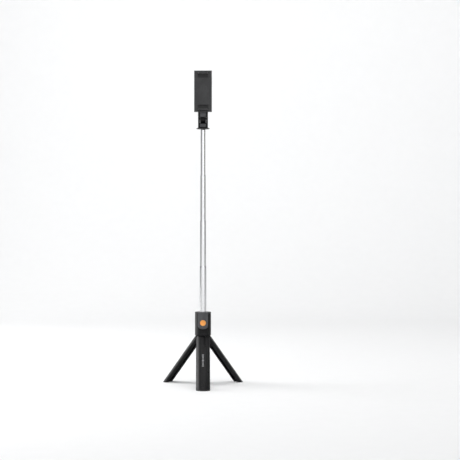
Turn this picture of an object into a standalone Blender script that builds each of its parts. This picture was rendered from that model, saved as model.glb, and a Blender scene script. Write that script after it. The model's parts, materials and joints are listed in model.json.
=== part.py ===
"""Selfie stick on an open tripod: handle, telescoping mast, folding phone clamp and remote.

The stick stands on the floor plane with its mast upright. Dimensions are in millimetres and MM turns
them into metres. The front of the stick, where the remote sits and the phone is held, faces -Y.
"""

import math

import bmesh
import bpy
from mathutils import Matrix, Vector

MM = 0.001
GAP = 0.3
ROUND = 28
FINE = 36

# Handle and tripod
HANDLE_R = 16.5
HEAD_HEIGHT = 47.7
COLLAR_HEIGHT = 3.0
LEG_LENGTH = 131.5
LEG_OPEN = math.radians(38.0)
LEG_AZIMUTHS = {"front": -90.0, "right": 30.0, "left": 150.0}
LEG_HALF_ANGLE = math.radians(58.8)
LEG_WALL = 1.9
LEG_INNER_R = 8.6
LEG_TOP_INNER_R = 10.8
LEG_TOP_ZONE = 5.5
LEG_CORNER_ANGLE = math.radians(50.0)
LEG_CORNER_TOP = 1.1
PIN_RADIAL = 11.8
PIN_DROP = 4.2
PIN_R = 1.0
PIN_HALF = 6.3
CHEEK = (3.4, 6.4)
CHEEK_R = 2.2
CHEEK_REACH = 2.9
YOKE_R = 9.6
YOKE_HEIGHT = 8.0
YOKE_LUG_R = 1.9
YOKE_LUG_HALF = 3.0
FOOT_PAD = 1.9

# Mast
MAST_R = 7.75
MAST_STEP = 0.65
TUBE_WALL = 0.35
SECTIONS = 4
SECTION_LENGTH = 113.0
SECTION_EXPOSED = 93.25
BUSH_HEIGHT = 5.0
BUSH_GROW = 0.18
OUTER_TUBE_BELOW_HEAD = 77.0
BORE_R = 8.05
SHELL_SCREW_X = 12.0
SHELL_SCREW_SHARE = 0.45
SHELL_SCREW_R = 1.0
SHELL_SCREW_HEAD_R = 2.2
SHELL_SCREW_SPAN = (-6.5, 8.2, 9.8)

# Remote in its dock
REMOTE_HALF = 10.4
REMOTE_HEIGHT = 33.8
REMOTE_CHIN = 7.0
REMOTE_FRONT = 16.9
REMOTE_FRONT_R = 22.0
REMOTE_BACK = 9.7
REMOTE_SPLIT = 12.75
REMOTE_WALL = 1.3
REMOTE_TOP_DROP = 0.2
DOCK_FLOOR = 9.4
BUTTON_R = 5.75
BUTTON_DROP = 21.7
BUTTON_FACE = 17.5
BUTTON_FLANGE_R = 6.4
BUTTON_FLANGE = (14.65, 15.1)
BUTTON_STEM = 14.9
BUTTON_POCKET_R = 6.75
BUTTON_POCKET = 15.35
CAVITY_FRONT = 13.9
CELL_R = 8.0
CELL_DROP = 13.0
CELL_SPAN = (10.75, 12.5)
DOOR_R = 8.6
BOARD_SPAN = (13.0, 13.6)
BOARD_HALF = 7.8
SWITCH_SPAN = (13.8, 14.2)
SWITCH_HALF = 2.6

# Neck and its fold hinge
FLANGE_R = 13.5
FLANGE_HEIGHT = 2.6
NECK_HALF_WIDTH = 10.0
NECK_HALF_DEPTH = 9.5
HINGE_RISE = 21.1
EAR_INNER = 7.1
KNUCKLE_R = 9.2
KNUCKLE_HALF = 6.0
BOLT_R = 1.8
BOLT_HEAD_R = 3.8
BOLT_HEAD_SPAN = (8.6, 9.7)
BOLT_RECESS_R = 4.1
BOLT_RECESS_X = 8.4
PANEL_HALF = 5.9
PANEL_SPAN = (8.6, 9.4)
WASHER_R = 6.0
WASHER_THICKNESS = 0.5
PAN_SCREW_R = 1.5
PAN_SCREW_HEAD_R = 3.2
PAN_SCREW_DROP = (13.5, 10.9)
PAN_SCREW_RISE = 6.5

# Arm behind the clamp
ARM_BACK = 18.5
ARM_FRONT = 25.0
ARM_HALF = 10.0
ARM_SHOULDER = 1.8
ARM_WEB_TOP = 9.0
ARM_FRONT_CORNER = 5.0
ARM_SIDE_CORNER = 3.0
ARM_RECESS_HALF = 6.8
ARM_RECESS_FLOOR = 21.5
SWIVEL_RISE = 53.0
SWIVEL_R = 1.9
SWIVEL_HEAD_R = 5.0
SWIVEL_HEAD_SPAN = (19.4, 21.6)
SWIVEL_HEAD_ROOM_R = 5.8
SWIVEL_HEAD_FLOOR = 21.9
SWIVEL_TAIL_R = 3.4
SWIVEL_TAIL_SPAN = (28.5, 29.6)
SWIVEL_WASHER_R = 9.0
SWIVEL_WASHER_SPAN = (25.2, 26.2)

# Clamp
CLAMP_HALF_WIDTH = 17.8
CLAMP_BACK = 26.5
CLAMP_FACE = 32.5
CLAMP_RIM = 32.9
CLAMP_HALF_LENGTH = 41.5
BODY_HALF_LENGTH = 26.5
BASE_THICKNESS = 1.6
RIM_WIDTH = 2.1
GUIDE_LEVEL = 22.0
GUIDE_HALF = 1.8
GUIDE_TOP = 30.8
PAD_BACK = 31.2
ROD_R = 0.9
ROD_LEVEL = 29.5
ROD_X = {"upper": 14.2, "lower": 11.6}
SPRING_X = {"upper": 6.0, "lower": -6.0}
SPRING_R = 0.9
WIRE_R = 0.22
WINDOW_HALF = 10.0
WINDOW_NEAR = 27.9
WINDOW_FAR = 38.3
WINDOW_FLOOR = 27.6
CLAW_HINGE = 36.6
CLAW_LEVEL = 30.9
CLAW_REACH = 8.4
CLAW_HALF_THICKNESS = 1.5
CLAW_HALF_WIDTH = 9.4
CLAW_PIN_R = 0.6
CLAW_PIN_HALF = 11.6
GRIP_HALF = 8.8
GRIP_FACE = 34.3
ROD_SPAN = (-8.0, 33.6)

# Heights worked out from the dimensions above
FOOT_DROP = LEG_LENGTH - PIN_DROP
PIN_Z = FOOT_DROP * math.cos(LEG_OPEN) - (HANDLE_R - PIN_RADIAL) * math.sin(LEG_OPEN)
HEAD_BOTTOM = PIN_Z + PIN_DROP
HEAD_TOP = HEAD_BOTTOM + HEAD_HEIGHT
NECK_Z = HEAD_TOP + SECTIONS * SECTION_EXPOSED + GAP
HINGE_Z = NECK_Z + HINGE_RISE
CLAMP_Z = HINGE_Z + SWIVEL_RISE
REMOTE_TOP = HEAD_TOP - REMOTE_TOP_DROP
BUTTON_Z = HEAD_TOP - BUTTON_DROP

FINISHES = {
    "black_plastic": ((0.018, 0.018, 0.019), 0.42, 0.0),
    "satin_grey": ((0.055, 0.056, 0.060), 0.45, 0.0),
    "clamp_plastic": ((0.050, 0.050, 0.052), 0.50, 0.0),
    "rubber": ((0.012, 0.012, 0.012), 0.80, 0.0),
    "steel": ((0.72, 0.72, 0.73), 0.22, 1.0),
    "orange": ((0.86, 0.33, 0.07), 0.40, 0.0),
    "circuit_green": ((0.02, 0.16, 0.06), 0.50, 0.0),
    "white_acetal": ((0.75, 0.75, 0.72), 0.45, 0.0),
}


# ---------------------------------------------------------------- scene and materials

def clear_scene():
    for obj in list(bpy.data.objects):
        bpy.data.objects.remove(obj, do_unlink=True)


def make_finishes():
    made = {}
    for name, (colour, roughness, metallic) in FINISHES.items():
        material = bpy.data.materials.new(name)
        material.use_nodes = True
        shader = material.node_tree.nodes["Principled BSDF"]
        shader.inputs["Base Color"].default_value = (*colour, 1.0)
        shader.inputs["Roughness"].default_value = roughness
        shader.inputs["Metallic"].default_value = metallic
        made[name] = material
    return made


def pivot(name, parent=None, at=(0.0, 0.0, 0.0), turn=None):
    """An empty on a joint's axis; at is in the stick's own frame, in millimetres."""
    empty = bpy.data.objects.new(name, None)
    bpy.context.scene.collection.objects.link(empty)
    empty["stick_place"] = list(at)
    above = Vector(parent["stick_place"]) if parent else Vector()
    empty.parent = parent
    empty.location = (Vector(at) - above) * MM
    if turn:
        empty.rotation_euler = turn.to_euler()
    return empty


def add(name, shape, finish, body, local=False):
    """Turn a closed shape into a named object on a body's pivot."""
    if not local:
        bmesh.ops.translate(shape, vec=-Vector(body["stick_place"]), verts=shape.verts)
    bmesh.ops.scale(shape, vec=(MM, MM, MM), verts=shape.verts)
    mesh = bpy.data.meshes.new(name)
    shape.to_mesh(mesh)
    shape.free()
    mesh.materials.append(finish)
    mesh.shade_smooth()
    mesh.set_sharp_from_angle(angle=math.radians(35.0))
    obj = bpy.data.objects.new(name, mesh)
    bpy.context.scene.collection.objects.link(obj)
    obj.parent = body
    return obj


# ---------------------------------------------------------------- outlines

def arc(centre, radius, start, end, steps):
    """Points along an arc, ends included; angles in radians."""
    turns = [start + (end - start) * i / steps for i in range(steps + 1)]
    return [(centre[0] + radius * math.cos(a), centre[1] + radius * math.sin(a)) for a in turns]


def circle(radius, centre=(0.0, 0.0), steps=ROUND):
    return arc(centre, radius, 0.0, 2.0 * math.pi, steps)[:-1]


def rectangle(x0, x1, y0, y1):
    return [(x0, y0), (x1, y0), (x1, y1), (x0, y1)]


def rounded_rectangle(x0, x1, y0, y1, radius, steps=4):
    corners = [(x1 - radius, y1 - radius, 0.0), (x0 + radius, y1 - radius, 0.5),
               (x0 + radius, y0 + radius, 1.0), (x1 - radius, y0 + radius, 1.5)]
    points = []
    for cx, cy, quarter in corners:
        points += arc((cx, cy), radius, quarter * math.pi, (quarter + 0.5) * math.pi, steps)
    return points


# ---------------------------------------------------------------- closed shapes

def prism(outline, low, high, along="Z"):
    """Extrude a closed outline. Along Z it lies in XY, along Y in XZ, along X in YZ."""
    spread = {"Z": lambda u, v, w: (u, v, w),
              "Y": lambda u, v, w: (u, w, v),
              "X": lambda u, v, w: (w, u, v)}[along]
    shape = bmesh.new()
    base = shape.faces.new([shape.verts.new(spread(u, v, low)) for u, v in outline])
    grown = bmesh.ops.extrude_face_region(shape, geom=[base])
    moved = [item for item in grown["geom"] if isinstance(item, bmesh.types.BMVert)]
    bmesh.ops.translate(shape, vec=spread(0.0, 0.0, high - low), verts=moved)
    bmesh.ops.recalc_face_normals(shape, faces=shape.faces)
    return shape


def box(x, y, z):
    """A block from three (low, high) pairs."""
    return prism(rectangle(*x, *y), *z)


def turned(profile, steps=ROUND):
    """Turn a closed (radius, height) profile about Z; a zero radius closes onto the axis."""
    shape = bmesh.new()
    rings = []
    for radius, height in profile:
        if radius == 0.0:
            rings.append([shape.verts.new((0.0, 0.0, height))])
        else:
            rings.append([shape.verts.new((x, y, height)) for x, y in circle(radius, steps=steps)])
    for lower, upper in zip(rings, rings[1:] + rings[:1]):
        if len(lower) == len(upper) == 1:
            continue
        for i in range(steps):
            j = (i + 1) % steps
            corners = [lower[i % len(lower)], lower[j % len(lower)],
                       upper[j % len(upper)], upper[i % len(upper)]]
            shape.faces.new(list(dict.fromkeys(corners)))
    bmesh.ops.recalc_face_normals(shape, faces=shape.faces)
    return shape


def tube(outer, inner, low, high, steps=ROUND):
    return turned([(inner, low), (outer, low), (outer, high), (inner, high)], steps)


def moved_to(shape, place, axis="Z"):
    """Lay a Z-axis shape along another axis, then move it."""
    lay = {"Z": Matrix.Identity(4),
           "Y": Matrix.Rotation(math.radians(90.0), 4, "X"),
           "X": Matrix.Rotation(math.radians(90.0), 4, "Y")}[axis]
    bmesh.ops.transform(shape, matrix=Matrix.Translation(place) @ lay, verts=shape.verts)
    return shape


def combine(first, second, operation):
    """Boolean two closed shapes into one."""
    pair = []
    for shape in (first, second):
        mesh = bpy.data.meshes.new("boolean_input")
        shape.to_mesh(mesh)
        shape.free()
        pair.append(bpy.data.objects.new("boolean_input", mesh))
        bpy.context.scene.collection.objects.link(pair[-1])
    modifier = pair[0].modifiers.new("combine", "BOOLEAN")
    modifier.operation = operation
    modifier.solver = "EXACT"
    modifier.object = pair[1]
    result = bmesh.new()
    result.from_object(pair[0], bpy.context.evaluated_depsgraph_get())
    for obj in pair:
        mesh = obj.data
        bpy.data.objects.remove(obj, do_unlink=True)
        bpy.data.meshes.remove(mesh)
    return result


def cut(shape, *cutters):
    for cutter in cutters:
        shape = combine(shape, cutter, "DIFFERENCE")
    return shape


def join(shape, *others):
    for other in others:
        shape = combine(shape, other, "UNION")
    return shape


def keep(shape, region):
    return combine(shape, region, "INTERSECT")


# ---------------------------------------------------------------- handle

def rear_screw(side):
    """A shell screw along Y beside the mast bore, head towards the back."""
    tip, neck, head = SHELL_SCREW_SPAN
    screw = turned([(0.0, tip), (SHELL_SCREW_R, tip), (SHELL_SCREW_R, neck), (SHELL_SCREW_HEAD_R, neck),
                    (SHELL_SCREW_HEAD_R, head), (0.0, head)], 12)
    turn = Matrix.Rotation(math.radians(-90.0), 4, "X")
    place = (side * SHELL_SCREW_X, 0.0, HEAD_BOTTOM + SHELL_SCREW_SHARE * HEAD_HEIGHT)
    bmesh.ops.transform(screw, matrix=Matrix.Translation(place) @ turn, verts=screw.verts)
    return screw


def screw_hole(side, low, high, radius):
    centre = (side * SHELL_SCREW_X, HEAD_BOTTOM + SHELL_SCREW_SHARE * HEAD_HEIGHT)
    return prism(circle(radius, centre, 12), low, high, "Y")


def remote_outline(inset=0.0, grow_top=0.0):
    """Front view of the remote: straight sides, rounded top corners and a curved chin."""
    half = REMOTE_HALF - inset
    top = REMOTE_TOP - inset + grow_top
    chin = REMOTE_CHIN - inset
    chin_start = REMOTE_TOP - REMOTE_HEIGHT + REMOTE_CHIN
    points = [(half, top), (-half, top)]
    for x, z in arc((0.0, 0.0), 1.0, math.pi, 2.0 * math.pi, 20):
        points.append((half * x, chin_start + chin * z))
    return points


def build_handle(root, finish):
    shell_top = HEAD_TOP - COLLAR_HEIGHT - GAP
    bore = prism(circle(BORE_R), HEAD_BOTTOM - 1.0, HEAD_TOP + 1.0)
    dock = prism(remote_outline(-GAP, 5.0), -30.0, -DOCK_FLOOR, "Y")

    half = arc((0.0, 0.0), HANDLE_R, math.pi + 0.01, 2.0 * math.pi - 0.01, 24)
    front = prism(half, HEAD_BOTTOM, shell_top)
    holes = [screw_hole(side, -7.0, 1.0, SHELL_SCREW_R + GAP) for side in (-1, 1)]
    add("head_front_shell", cut(front, bore.copy(), dock.copy(), *holes), finish["black_plastic"], root)

    half = arc((0.0, 0.0), HANDLE_R, 0.01, math.pi - 0.01, 24)
    rear = prism(half, HEAD_BOTTOM, shell_top)
    cavity = arc((0.0, 0.0), HANDLE_R - 2.1, math.radians(50), math.radians(130), 12)
    cavity += arc((0.0, 0.0), BORE_R + 1.7, math.radians(130), math.radians(50), 12)
    hollow = prism(cavity, HEAD_BOTTOM + 2.5, HEAD_TOP)
    holes = [screw_hole(side, -1.0, 20.0, SHELL_SCREW_R + GAP) for side in (-1, 1)]
    recesses = [screw_hole(side, 7.9, 20.0, SHELL_SCREW_HEAD_R + GAP) for side in (-1, 1)]
    add("head_rear_shell", cut(rear, bore.copy(), hollow, *holes, *recesses), finish["black_plastic"], root)
    for side, name in ((-1, "left"), (1, "right")):
        add("shell_screw_" + name, rear_screw(side), finish["steel"], root)

    low = HEAD_TOP - COLLAR_HEIGHT
    collar = turned([(BORE_R, low), (HANDLE_R, low), (HANDLE_R, HEAD_TOP - 1.0),
                     (HANDLE_R - 0.3, HEAD_TOP - 0.3), (HANDLE_R - 1.0, HEAD_TOP), (BORE_R, HEAD_TOP)], FINE)
    add("head_top_collar", cut(collar, dock), finish["black_plastic"], root)
    bore.free()

    tube_low = HEAD_BOTTOM - OUTER_TUBE_BELOW_HEAD
    add("outer_tube", tube(MAST_R, MAST_R - TUBE_WALL, tube_low, HEAD_TOP - 0.2), finish["steel"], root)
    plug_r = MAST_R - TUBE_WALL - GAP
    plug = turned([(0.0, tube_low - 1.5), (MAST_R, tube_low - 1.5), (MAST_R, tube_low - GAP),
                   (plug_r, tube_low - GAP), (plug_r, tube_low + 4.5), (0.0, tube_low + 4.5)])
    add("tube_end_plug", plug, finish["black_plastic"], root)


def build_yoke(root, finish):
    """Ring round the outer tube with one lug for each leg hinge."""
    low = HEAD_BOTTOM - YOKE_HEIGHT
    yoke = tube(YOKE_R, BORE_R, low, HEAD_BOTTOM - GAP)
    for azimuth in LEG_AZIMUTHS.values():
        profile = [(YOKE_R - 1.2, -YOKE_LUG_R)]
        profile += arc((PIN_RADIAL, 0.0), YOKE_LUG_R, -0.5 * math.pi, 0.5 * math.pi, 8)
        profile += [(YOKE_R - 1.2, YOKE_LUG_R)]
        lug = prism(profile, -YOKE_LUG_HALF, YOKE_LUG_HALF, "Y")
        hole = prism(circle(PIN_R + 0.2, (PIN_RADIAL, 0.0), 12), -8.0, 8.0, "Y")
        for shape in (lug, hole):
            turn = Matrix.Rotation(math.radians(azimuth), 4, "Z")
            bmesh.ops.transform(shape, matrix=Matrix.Translation((0, 0, PIN_Z)) @ turn, verts=shape.verts)
        yoke = cut(join(yoke, lug), hole)
    add("leg_yoke", yoke, finish["black_plastic"], root)


# ---------------------------------------------------------------- legs

def sector(inner, outer, half_angle, wall=None):
    """A leg's cross-section about the mast axis, hollow towards the mast where wall is given."""
    centre = (-PIN_RADIAL, 0.0)
    points = arc(centre, outer, -half_angle, half_angle, 14)
    if wall is None:
        return points + arc(centre, inner, half_angle, -half_angle, 8)
    lip = half_angle - math.asin(wall / inner)
    shoulder = half_angle - math.asin(wall / (outer - wall))
    points += arc(centre, inner, half_angle, lip, 1)
    points += arc(centre, outer - wall, shoulder, -shoulder, 14)
    return points + arc(centre, inner, -lip, -half_angle, 1)


def floor_line(x, rise):
    """Height in the leg's frame of a plane parallel to the floor when the leg is open."""
    sole = -FOOT_DROP - (x - (HANDLE_R - PIN_RADIAL)) * math.tan(LEG_OPEN)
    return sole + rise / math.cos(LEG_OPEN)


def side_band(rise_low, rise_high):
    """Side view of a slice parallel to the floor, at the foot of a leg."""
    x0, x1 = -PIN_RADIAL, HANDLE_R
    return [(x0, floor_line(x0, rise_low)), (x1, floor_line(x1, rise_low)),
            (x1, floor_line(x1, rise_high)), (x0, floor_line(x0, rise_high))]


def leg_side_view():
    """Side view of the whole leg: cut flat for the floor, and eased where it turns under the head."""
    top = PIN_DROP - GAP
    x0, x1 = -PIN_RADIAL, HANDLE_R
    points = [(x0, floor_line(x0, FOOT_PAD + GAP)), (x1, floor_line(x1, FOOT_PAD + GAP))]
    slope = math.tan(LEG_OPEN)
    knee = (top * math.sin(LEG_OPEN), top * math.cos(LEG_OPEN))
    points.append((x1, knee[1] - (x1 - knee[0]) * slope))
    points += arc((0.0, 0.0), top, 0.5 * math.pi - LEG_OPEN, 0.5 * math.pi, 6)
    return points + [(x0, top)]


def build_leg_shell():
    high = PIN_DROP
    low = floor_line(HANDLE_R, 0.0)
    shell = prism(sector(LEG_INNER_R, HANDLE_R, LEG_HALF_ANGLE, LEG_WALL), low, high)
    yoke_room = prism(circle(LEG_TOP_INNER_R, (-PIN_RADIAL, 0.0)), -LEG_TOP_ZONE, high + 1.0)
    shell = cut(shell, yoke_room)
    for side in (-1, 1):
        near, far = sorted((side * LEG_CORNER_ANGLE, side * (LEG_HALF_ANGLE + 0.12)))
        corner = arc((-PIN_RADIAL, 0.0), HANDLE_R + 3.0, near, far, 4)
        corner += arc((-PIN_RADIAL, 0.0), LEG_INNER_R - 1.0, far, near, 4)
        shell = cut(shell, prism(corner, LEG_CORNER_TOP, high + 1.0))
    filled = prism(sector(LEG_INNER_R, HANDLE_R, LEG_HALF_ANGLE), low, high)
    end_wall = prism(side_band(FOOT_PAD + GAP, FOOT_PAD + GAP + 2.5), -20.0, 20.0, "Y")
    shell = join(shell, keep(filled, end_wall))
    cheek_view = arc((0.0, 0.0), CHEEK_R, 0.5 * math.pi, 1.5 * math.pi, 7)
    cheek_view += [(1.0, -9.0), (CHEEK_REACH, -9.0), (CHEEK_REACH, 1.0)]
    for side in (-1, 1):
        near, far = sorted(side * t for t in CHEEK)
        shell = join(shell, prism(cheek_view, near, far, "Y"))
    for share in (0.36, 0.68):
        level = -share * FOOT_DROP
        rib = prism(sector(LEG_TOP_INNER_R, HANDLE_R - 0.5, LEG_HALF_ANGLE - 0.06), level, level + 1.6)
        shell = join(shell, rib)
    shell = keep(shell, prism(leg_side_view(), -20.0, 20.0, "Y"))
    return cut(shell, prism(circle(PIN_R + 0.2, steps=12), -8.0, 8.0, "Y"))


def build_legs(root, finish):
    for name, azimuth in LEG_AZIMUTHS.items():
        angle = math.radians(azimuth)
        place = (PIN_RADIAL * math.cos(angle), PIN_RADIAL * math.sin(angle), PIN_Z)
        turn = Matrix.Rotation(angle, 4, "Z")
        pin = prism(circle(PIN_R, steps=12), -PIN_HALF, PIN_HALF, "Y")
        bmesh.ops.transform(pin, matrix=Matrix.Translation(place) @ turn, verts=pin.verts)
        add("leg_pin_" + name, pin, finish["steel"], root)
        swing = pivot("leg_pivot_" + name, root, place, turn @ Matrix.Rotation(-LEG_OPEN, 4, "Y"))
        add("leg_shell_" + name, build_leg_shell(), finish["black_plastic"], swing, local=True)
        filled = prism(sector(LEG_INNER_R, HANDLE_R, LEG_HALF_ANGLE), floor_line(HANDLE_R, 0.0), 0.0)
        pad = keep(filled, prism(side_band(0.0, FOOT_PAD), -20.0, 20.0, "Y"))
        add("foot_pad_" + name, pad, finish["rubber"], swing, local=True)


# ---------------------------------------------------------------- mast

def build_mast(root, finish):
    parent = root
    for number in range(1, SECTIONS + 1):
        radius = MAST_R - MAST_STEP * number
        top = HEAD_TOP + SECTION_EXPOSED * number
        low = top - SECTION_LENGTH
        slide = pivot("mast_slide_%d" % number, parent, (0.0, 0.0, top))
        inner = radius - TUBE_WALL
        add("tube_section_%d" % number, tube(radius, inner, low, top), finish["steel"], slide)
        bush = tube(radius + BUSH_GROW, inner, low - GAP - BUSH_HEIGHT, low - GAP)
        add("tube_bush_%d" % number, bush, finish["white_acetal"], slide)
        parent = slide
    plug = tube(inner - GAP, BOLT_R, top - 10.0, top - GAP)
    add("swivel_plug", plug, finish["white_acetal"], parent)
    return parent


# ---------------------------------------------------------------- neck and arm

def build_neck(mast, finish):
    pan = pivot("neck_pan", mast, (0.0, 0.0, NECK_Z))
    top = NECK_Z + FLANGE_HEIGHT
    flange = turned([(0.0, NECK_Z), (FLANGE_R - 0.8, NECK_Z), (FLANGE_R, NECK_Z + 0.8),
                     (FLANGE_R, NECK_Z + 1.6), (FLANGE_R - 1.6, top), (0.0, top)], FINE)
    view = [(-NECK_HALF_DEPTH, top - 0.6), (NECK_HALF_DEPTH, top - 0.6)]
    view += arc((0.0, HINGE_Z), NECK_HALF_DEPTH, 0.0, math.pi, 20)
    column = prism(view, -NECK_HALF_WIDTH, NECK_HALF_WIDTH, "X")
    slot_low = HINGE_Z - KNUCKLE_R - 0.5
    bolt_hole = prism(circle(BOLT_R + GAP, (0.0, HINGE_Z), 20), -12.0, 12.0, "X")
    neck = cut(join(flange, column),
               box((-EAR_INNER, EAR_INNER), (-12.0, 12.0), (slot_low, HINGE_Z + 12.0)), bolt_hole)
    for side in (-1, 1):
        low, high = sorted((side * BOLT_RECESS_X, side * 12.0))
        neck = cut(neck, prism(circle(BOLT_RECESS_R, (0.0, HINGE_Z), 24), low, high, "X"))
    panel_low, panel_high = NECK_Z + 3.6, slot_low - 1.2
    panel_back, panel_front = PANEL_SPAN
    panel_room = box((-PANEL_HALF - GAP, PANEL_HALF + GAP), (-12.0, -panel_back + GAP),
                     (panel_low, panel_high))
    screw_room = prism(circle(PAN_SCREW_R + GAP, steps=20), NECK_Z - 1.0, NECK_Z + PAN_SCREW_RISE + 0.5)
    neck = cut(neck, panel_room, screw_room)
    add("neck_body", neck, finish["black_plastic"], pan)
    panel = box((-PANEL_HALF, PANEL_HALF), (-panel_front, -panel_back), (panel_low + GAP, panel_high - GAP))
    add("neck_front_panel", panel, finish["satin_grey"], pan)

    head_low, head_high = (NECK_Z - drop for drop in PAN_SCREW_DROP)
    tip = NECK_Z + PAN_SCREW_RISE
    screw = turned([(0.0, head_low), (PAN_SCREW_HEAD_R, head_low), (PAN_SCREW_HEAD_R, head_high),
                    (PAN_SCREW_R, head_high), (PAN_SCREW_R, tip), (0.0, tip)], 20)
    add("pan_screw", screw, finish["steel"], pan)

    middle = (0.0, 0.0, HINGE_Z)
    inside, outside = BOLT_HEAD_SPAN
    bolt_end = outside - 0.1
    bolt = turned([(0.0, -outside), (BOLT_HEAD_R, -outside), (BOLT_HEAD_R, -inside), (BOLT_R, -inside),
                   (BOLT_R, bolt_end), (0.0, bolt_end)], 24)
    add("hinge_bolt", moved_to(bolt, middle, "X"), finish["steel"], pan)
    nut = tube(BOLT_HEAD_R, BOLT_R + GAP, inside + 0.1, outside, 6)
    add("hinge_nut", moved_to(nut, middle, "X"), finish["steel"], pan)
    for name, low in (("left", -KNUCKLE_HALF - GAP - WASHER_THICKNESS), ("right", KNUCKLE_HALF + GAP)):
        washer = tube(WASHER_R, BOLT_R + GAP, low, low + WASHER_THICKNESS, 24)
        add("friction_washer_" + name, moved_to(washer, middle, "X"), finish["black_plastic"], pan)
    return pan


def build_arm(neck, finish):
    fold = pivot("arm_fold", neck, (0.0, 0.0, HINGE_Z))
    low = HINGE_Z + ARM_SHOULDER
    web_high = HINGE_Z + ARM_WEB_TOP
    knuckle = prism(circle(KNUCKLE_R, (0.0, HINGE_Z), 36), -KNUCKLE_HALF, KNUCKLE_HALF, "X")
    tongue = box((-KNUCKLE_HALF, KNUCKLE_HALF), (-16.0, -2.0), (low, web_high))
    step = NECK_HALF_DEPTH + 0.7
    corner = ARM_FRONT_CORNER
    crank = [(-step, low), (-step, web_high), (-ARM_BACK, web_high), (-ARM_BACK, CLAMP_Z + ARM_HALF)]
    crank += [(-ARM_FRONT, CLAMP_Z + ARM_HALF)]
    crank += arc((-ARM_FRONT + corner, low + corner), corner, math.pi, 1.5 * math.pi, 6)
    front_view = arc((0.0, CLAMP_Z), ARM_HALF, 0.0, math.pi, 20)
    corner = ARM_SIDE_CORNER
    front_view += arc((-ARM_HALF + corner, low + corner), corner, math.pi, 1.5 * math.pi, 4)
    front_view += arc((ARM_HALF - corner, low + corner), corner, 1.5 * math.pi, 2.0 * math.pi, 4)
    plate = keep(prism(crank, -ARM_HALF, ARM_HALF, "X"), prism(front_view, -30.0, 0.0, "Y"))
    arm = join(plate, join(knuckle, tongue))
    recess = rounded_rectangle(-ARM_RECESS_HALF, ARM_RECESS_HALF, HINGE_Z + 13.0, CLAMP_Z - 9.5, 2.0)
    swivel_hole = prism(circle(SWIVEL_R + GAP, (0.0, CLAMP_Z), 20), -30.0, -10.0, "Y")
    arm = cut(arm, prism(recess, -ARM_RECESS_FLOOR, -10.0, "Y"),
              prism(circle(SWIVEL_HEAD_ROOM_R, (0.0, CLAMP_Z)), -SWIVEL_HEAD_FLOOR, -10.0, "Y"),
              swivel_hole.copy(), prism(circle(BOLT_R + GAP, (0.0, HINGE_Z), 20), -12.0, 12.0, "X"))
    add("clamp_arm", arm, finish["black_plastic"], fold)
    back, front = SWIVEL_WASHER_SPAN
    washer = cut(prism(circle(SWIVEL_WASHER_R, (0.0, CLAMP_Z), FINE), -front, -back, "Y"), swivel_hole)
    add("swivel_washer", washer, finish["white_acetal"], fold)
    return fold


# ---------------------------------------------------------------- clamp

def spring_coil(low, high, turns=8, steps=8, sides=4):
    """A helical wire along Z with flat ends."""
    shape = bmesh.new()
    count = turns * steps
    rings = []
    for i in range(count + 1):
        angle = 2.0 * math.pi * i / steps
        outward = Vector((math.cos(angle), math.sin(angle), 0.0))
        centre = outward * SPRING_R
        centre.z = low + WIRE_R + (high - low - 2.0 * WIRE_R) * i / count
        ring = []
        for k in range(sides):
            turn = 2.0 * math.pi * k / sides
            offset = outward * math.cos(turn) + Vector((0.0, 0.0, math.sin(turn)))
            ring.append(shape.verts.new(centre + offset * WIRE_R))
        rings.append(ring)
    for first, second in zip(rings, rings[1:]):
        for k in range(sides):
            j = (k + 1) % sides
            shape.faces.new((first[k], first[j], second[j], second[k]))
    shape.faces.new(rings[0][::-1])
    shape.faces.new(rings[-1])
    bmesh.ops.recalc_face_normals(shape, faces=shape.faces)
    return shape


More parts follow.
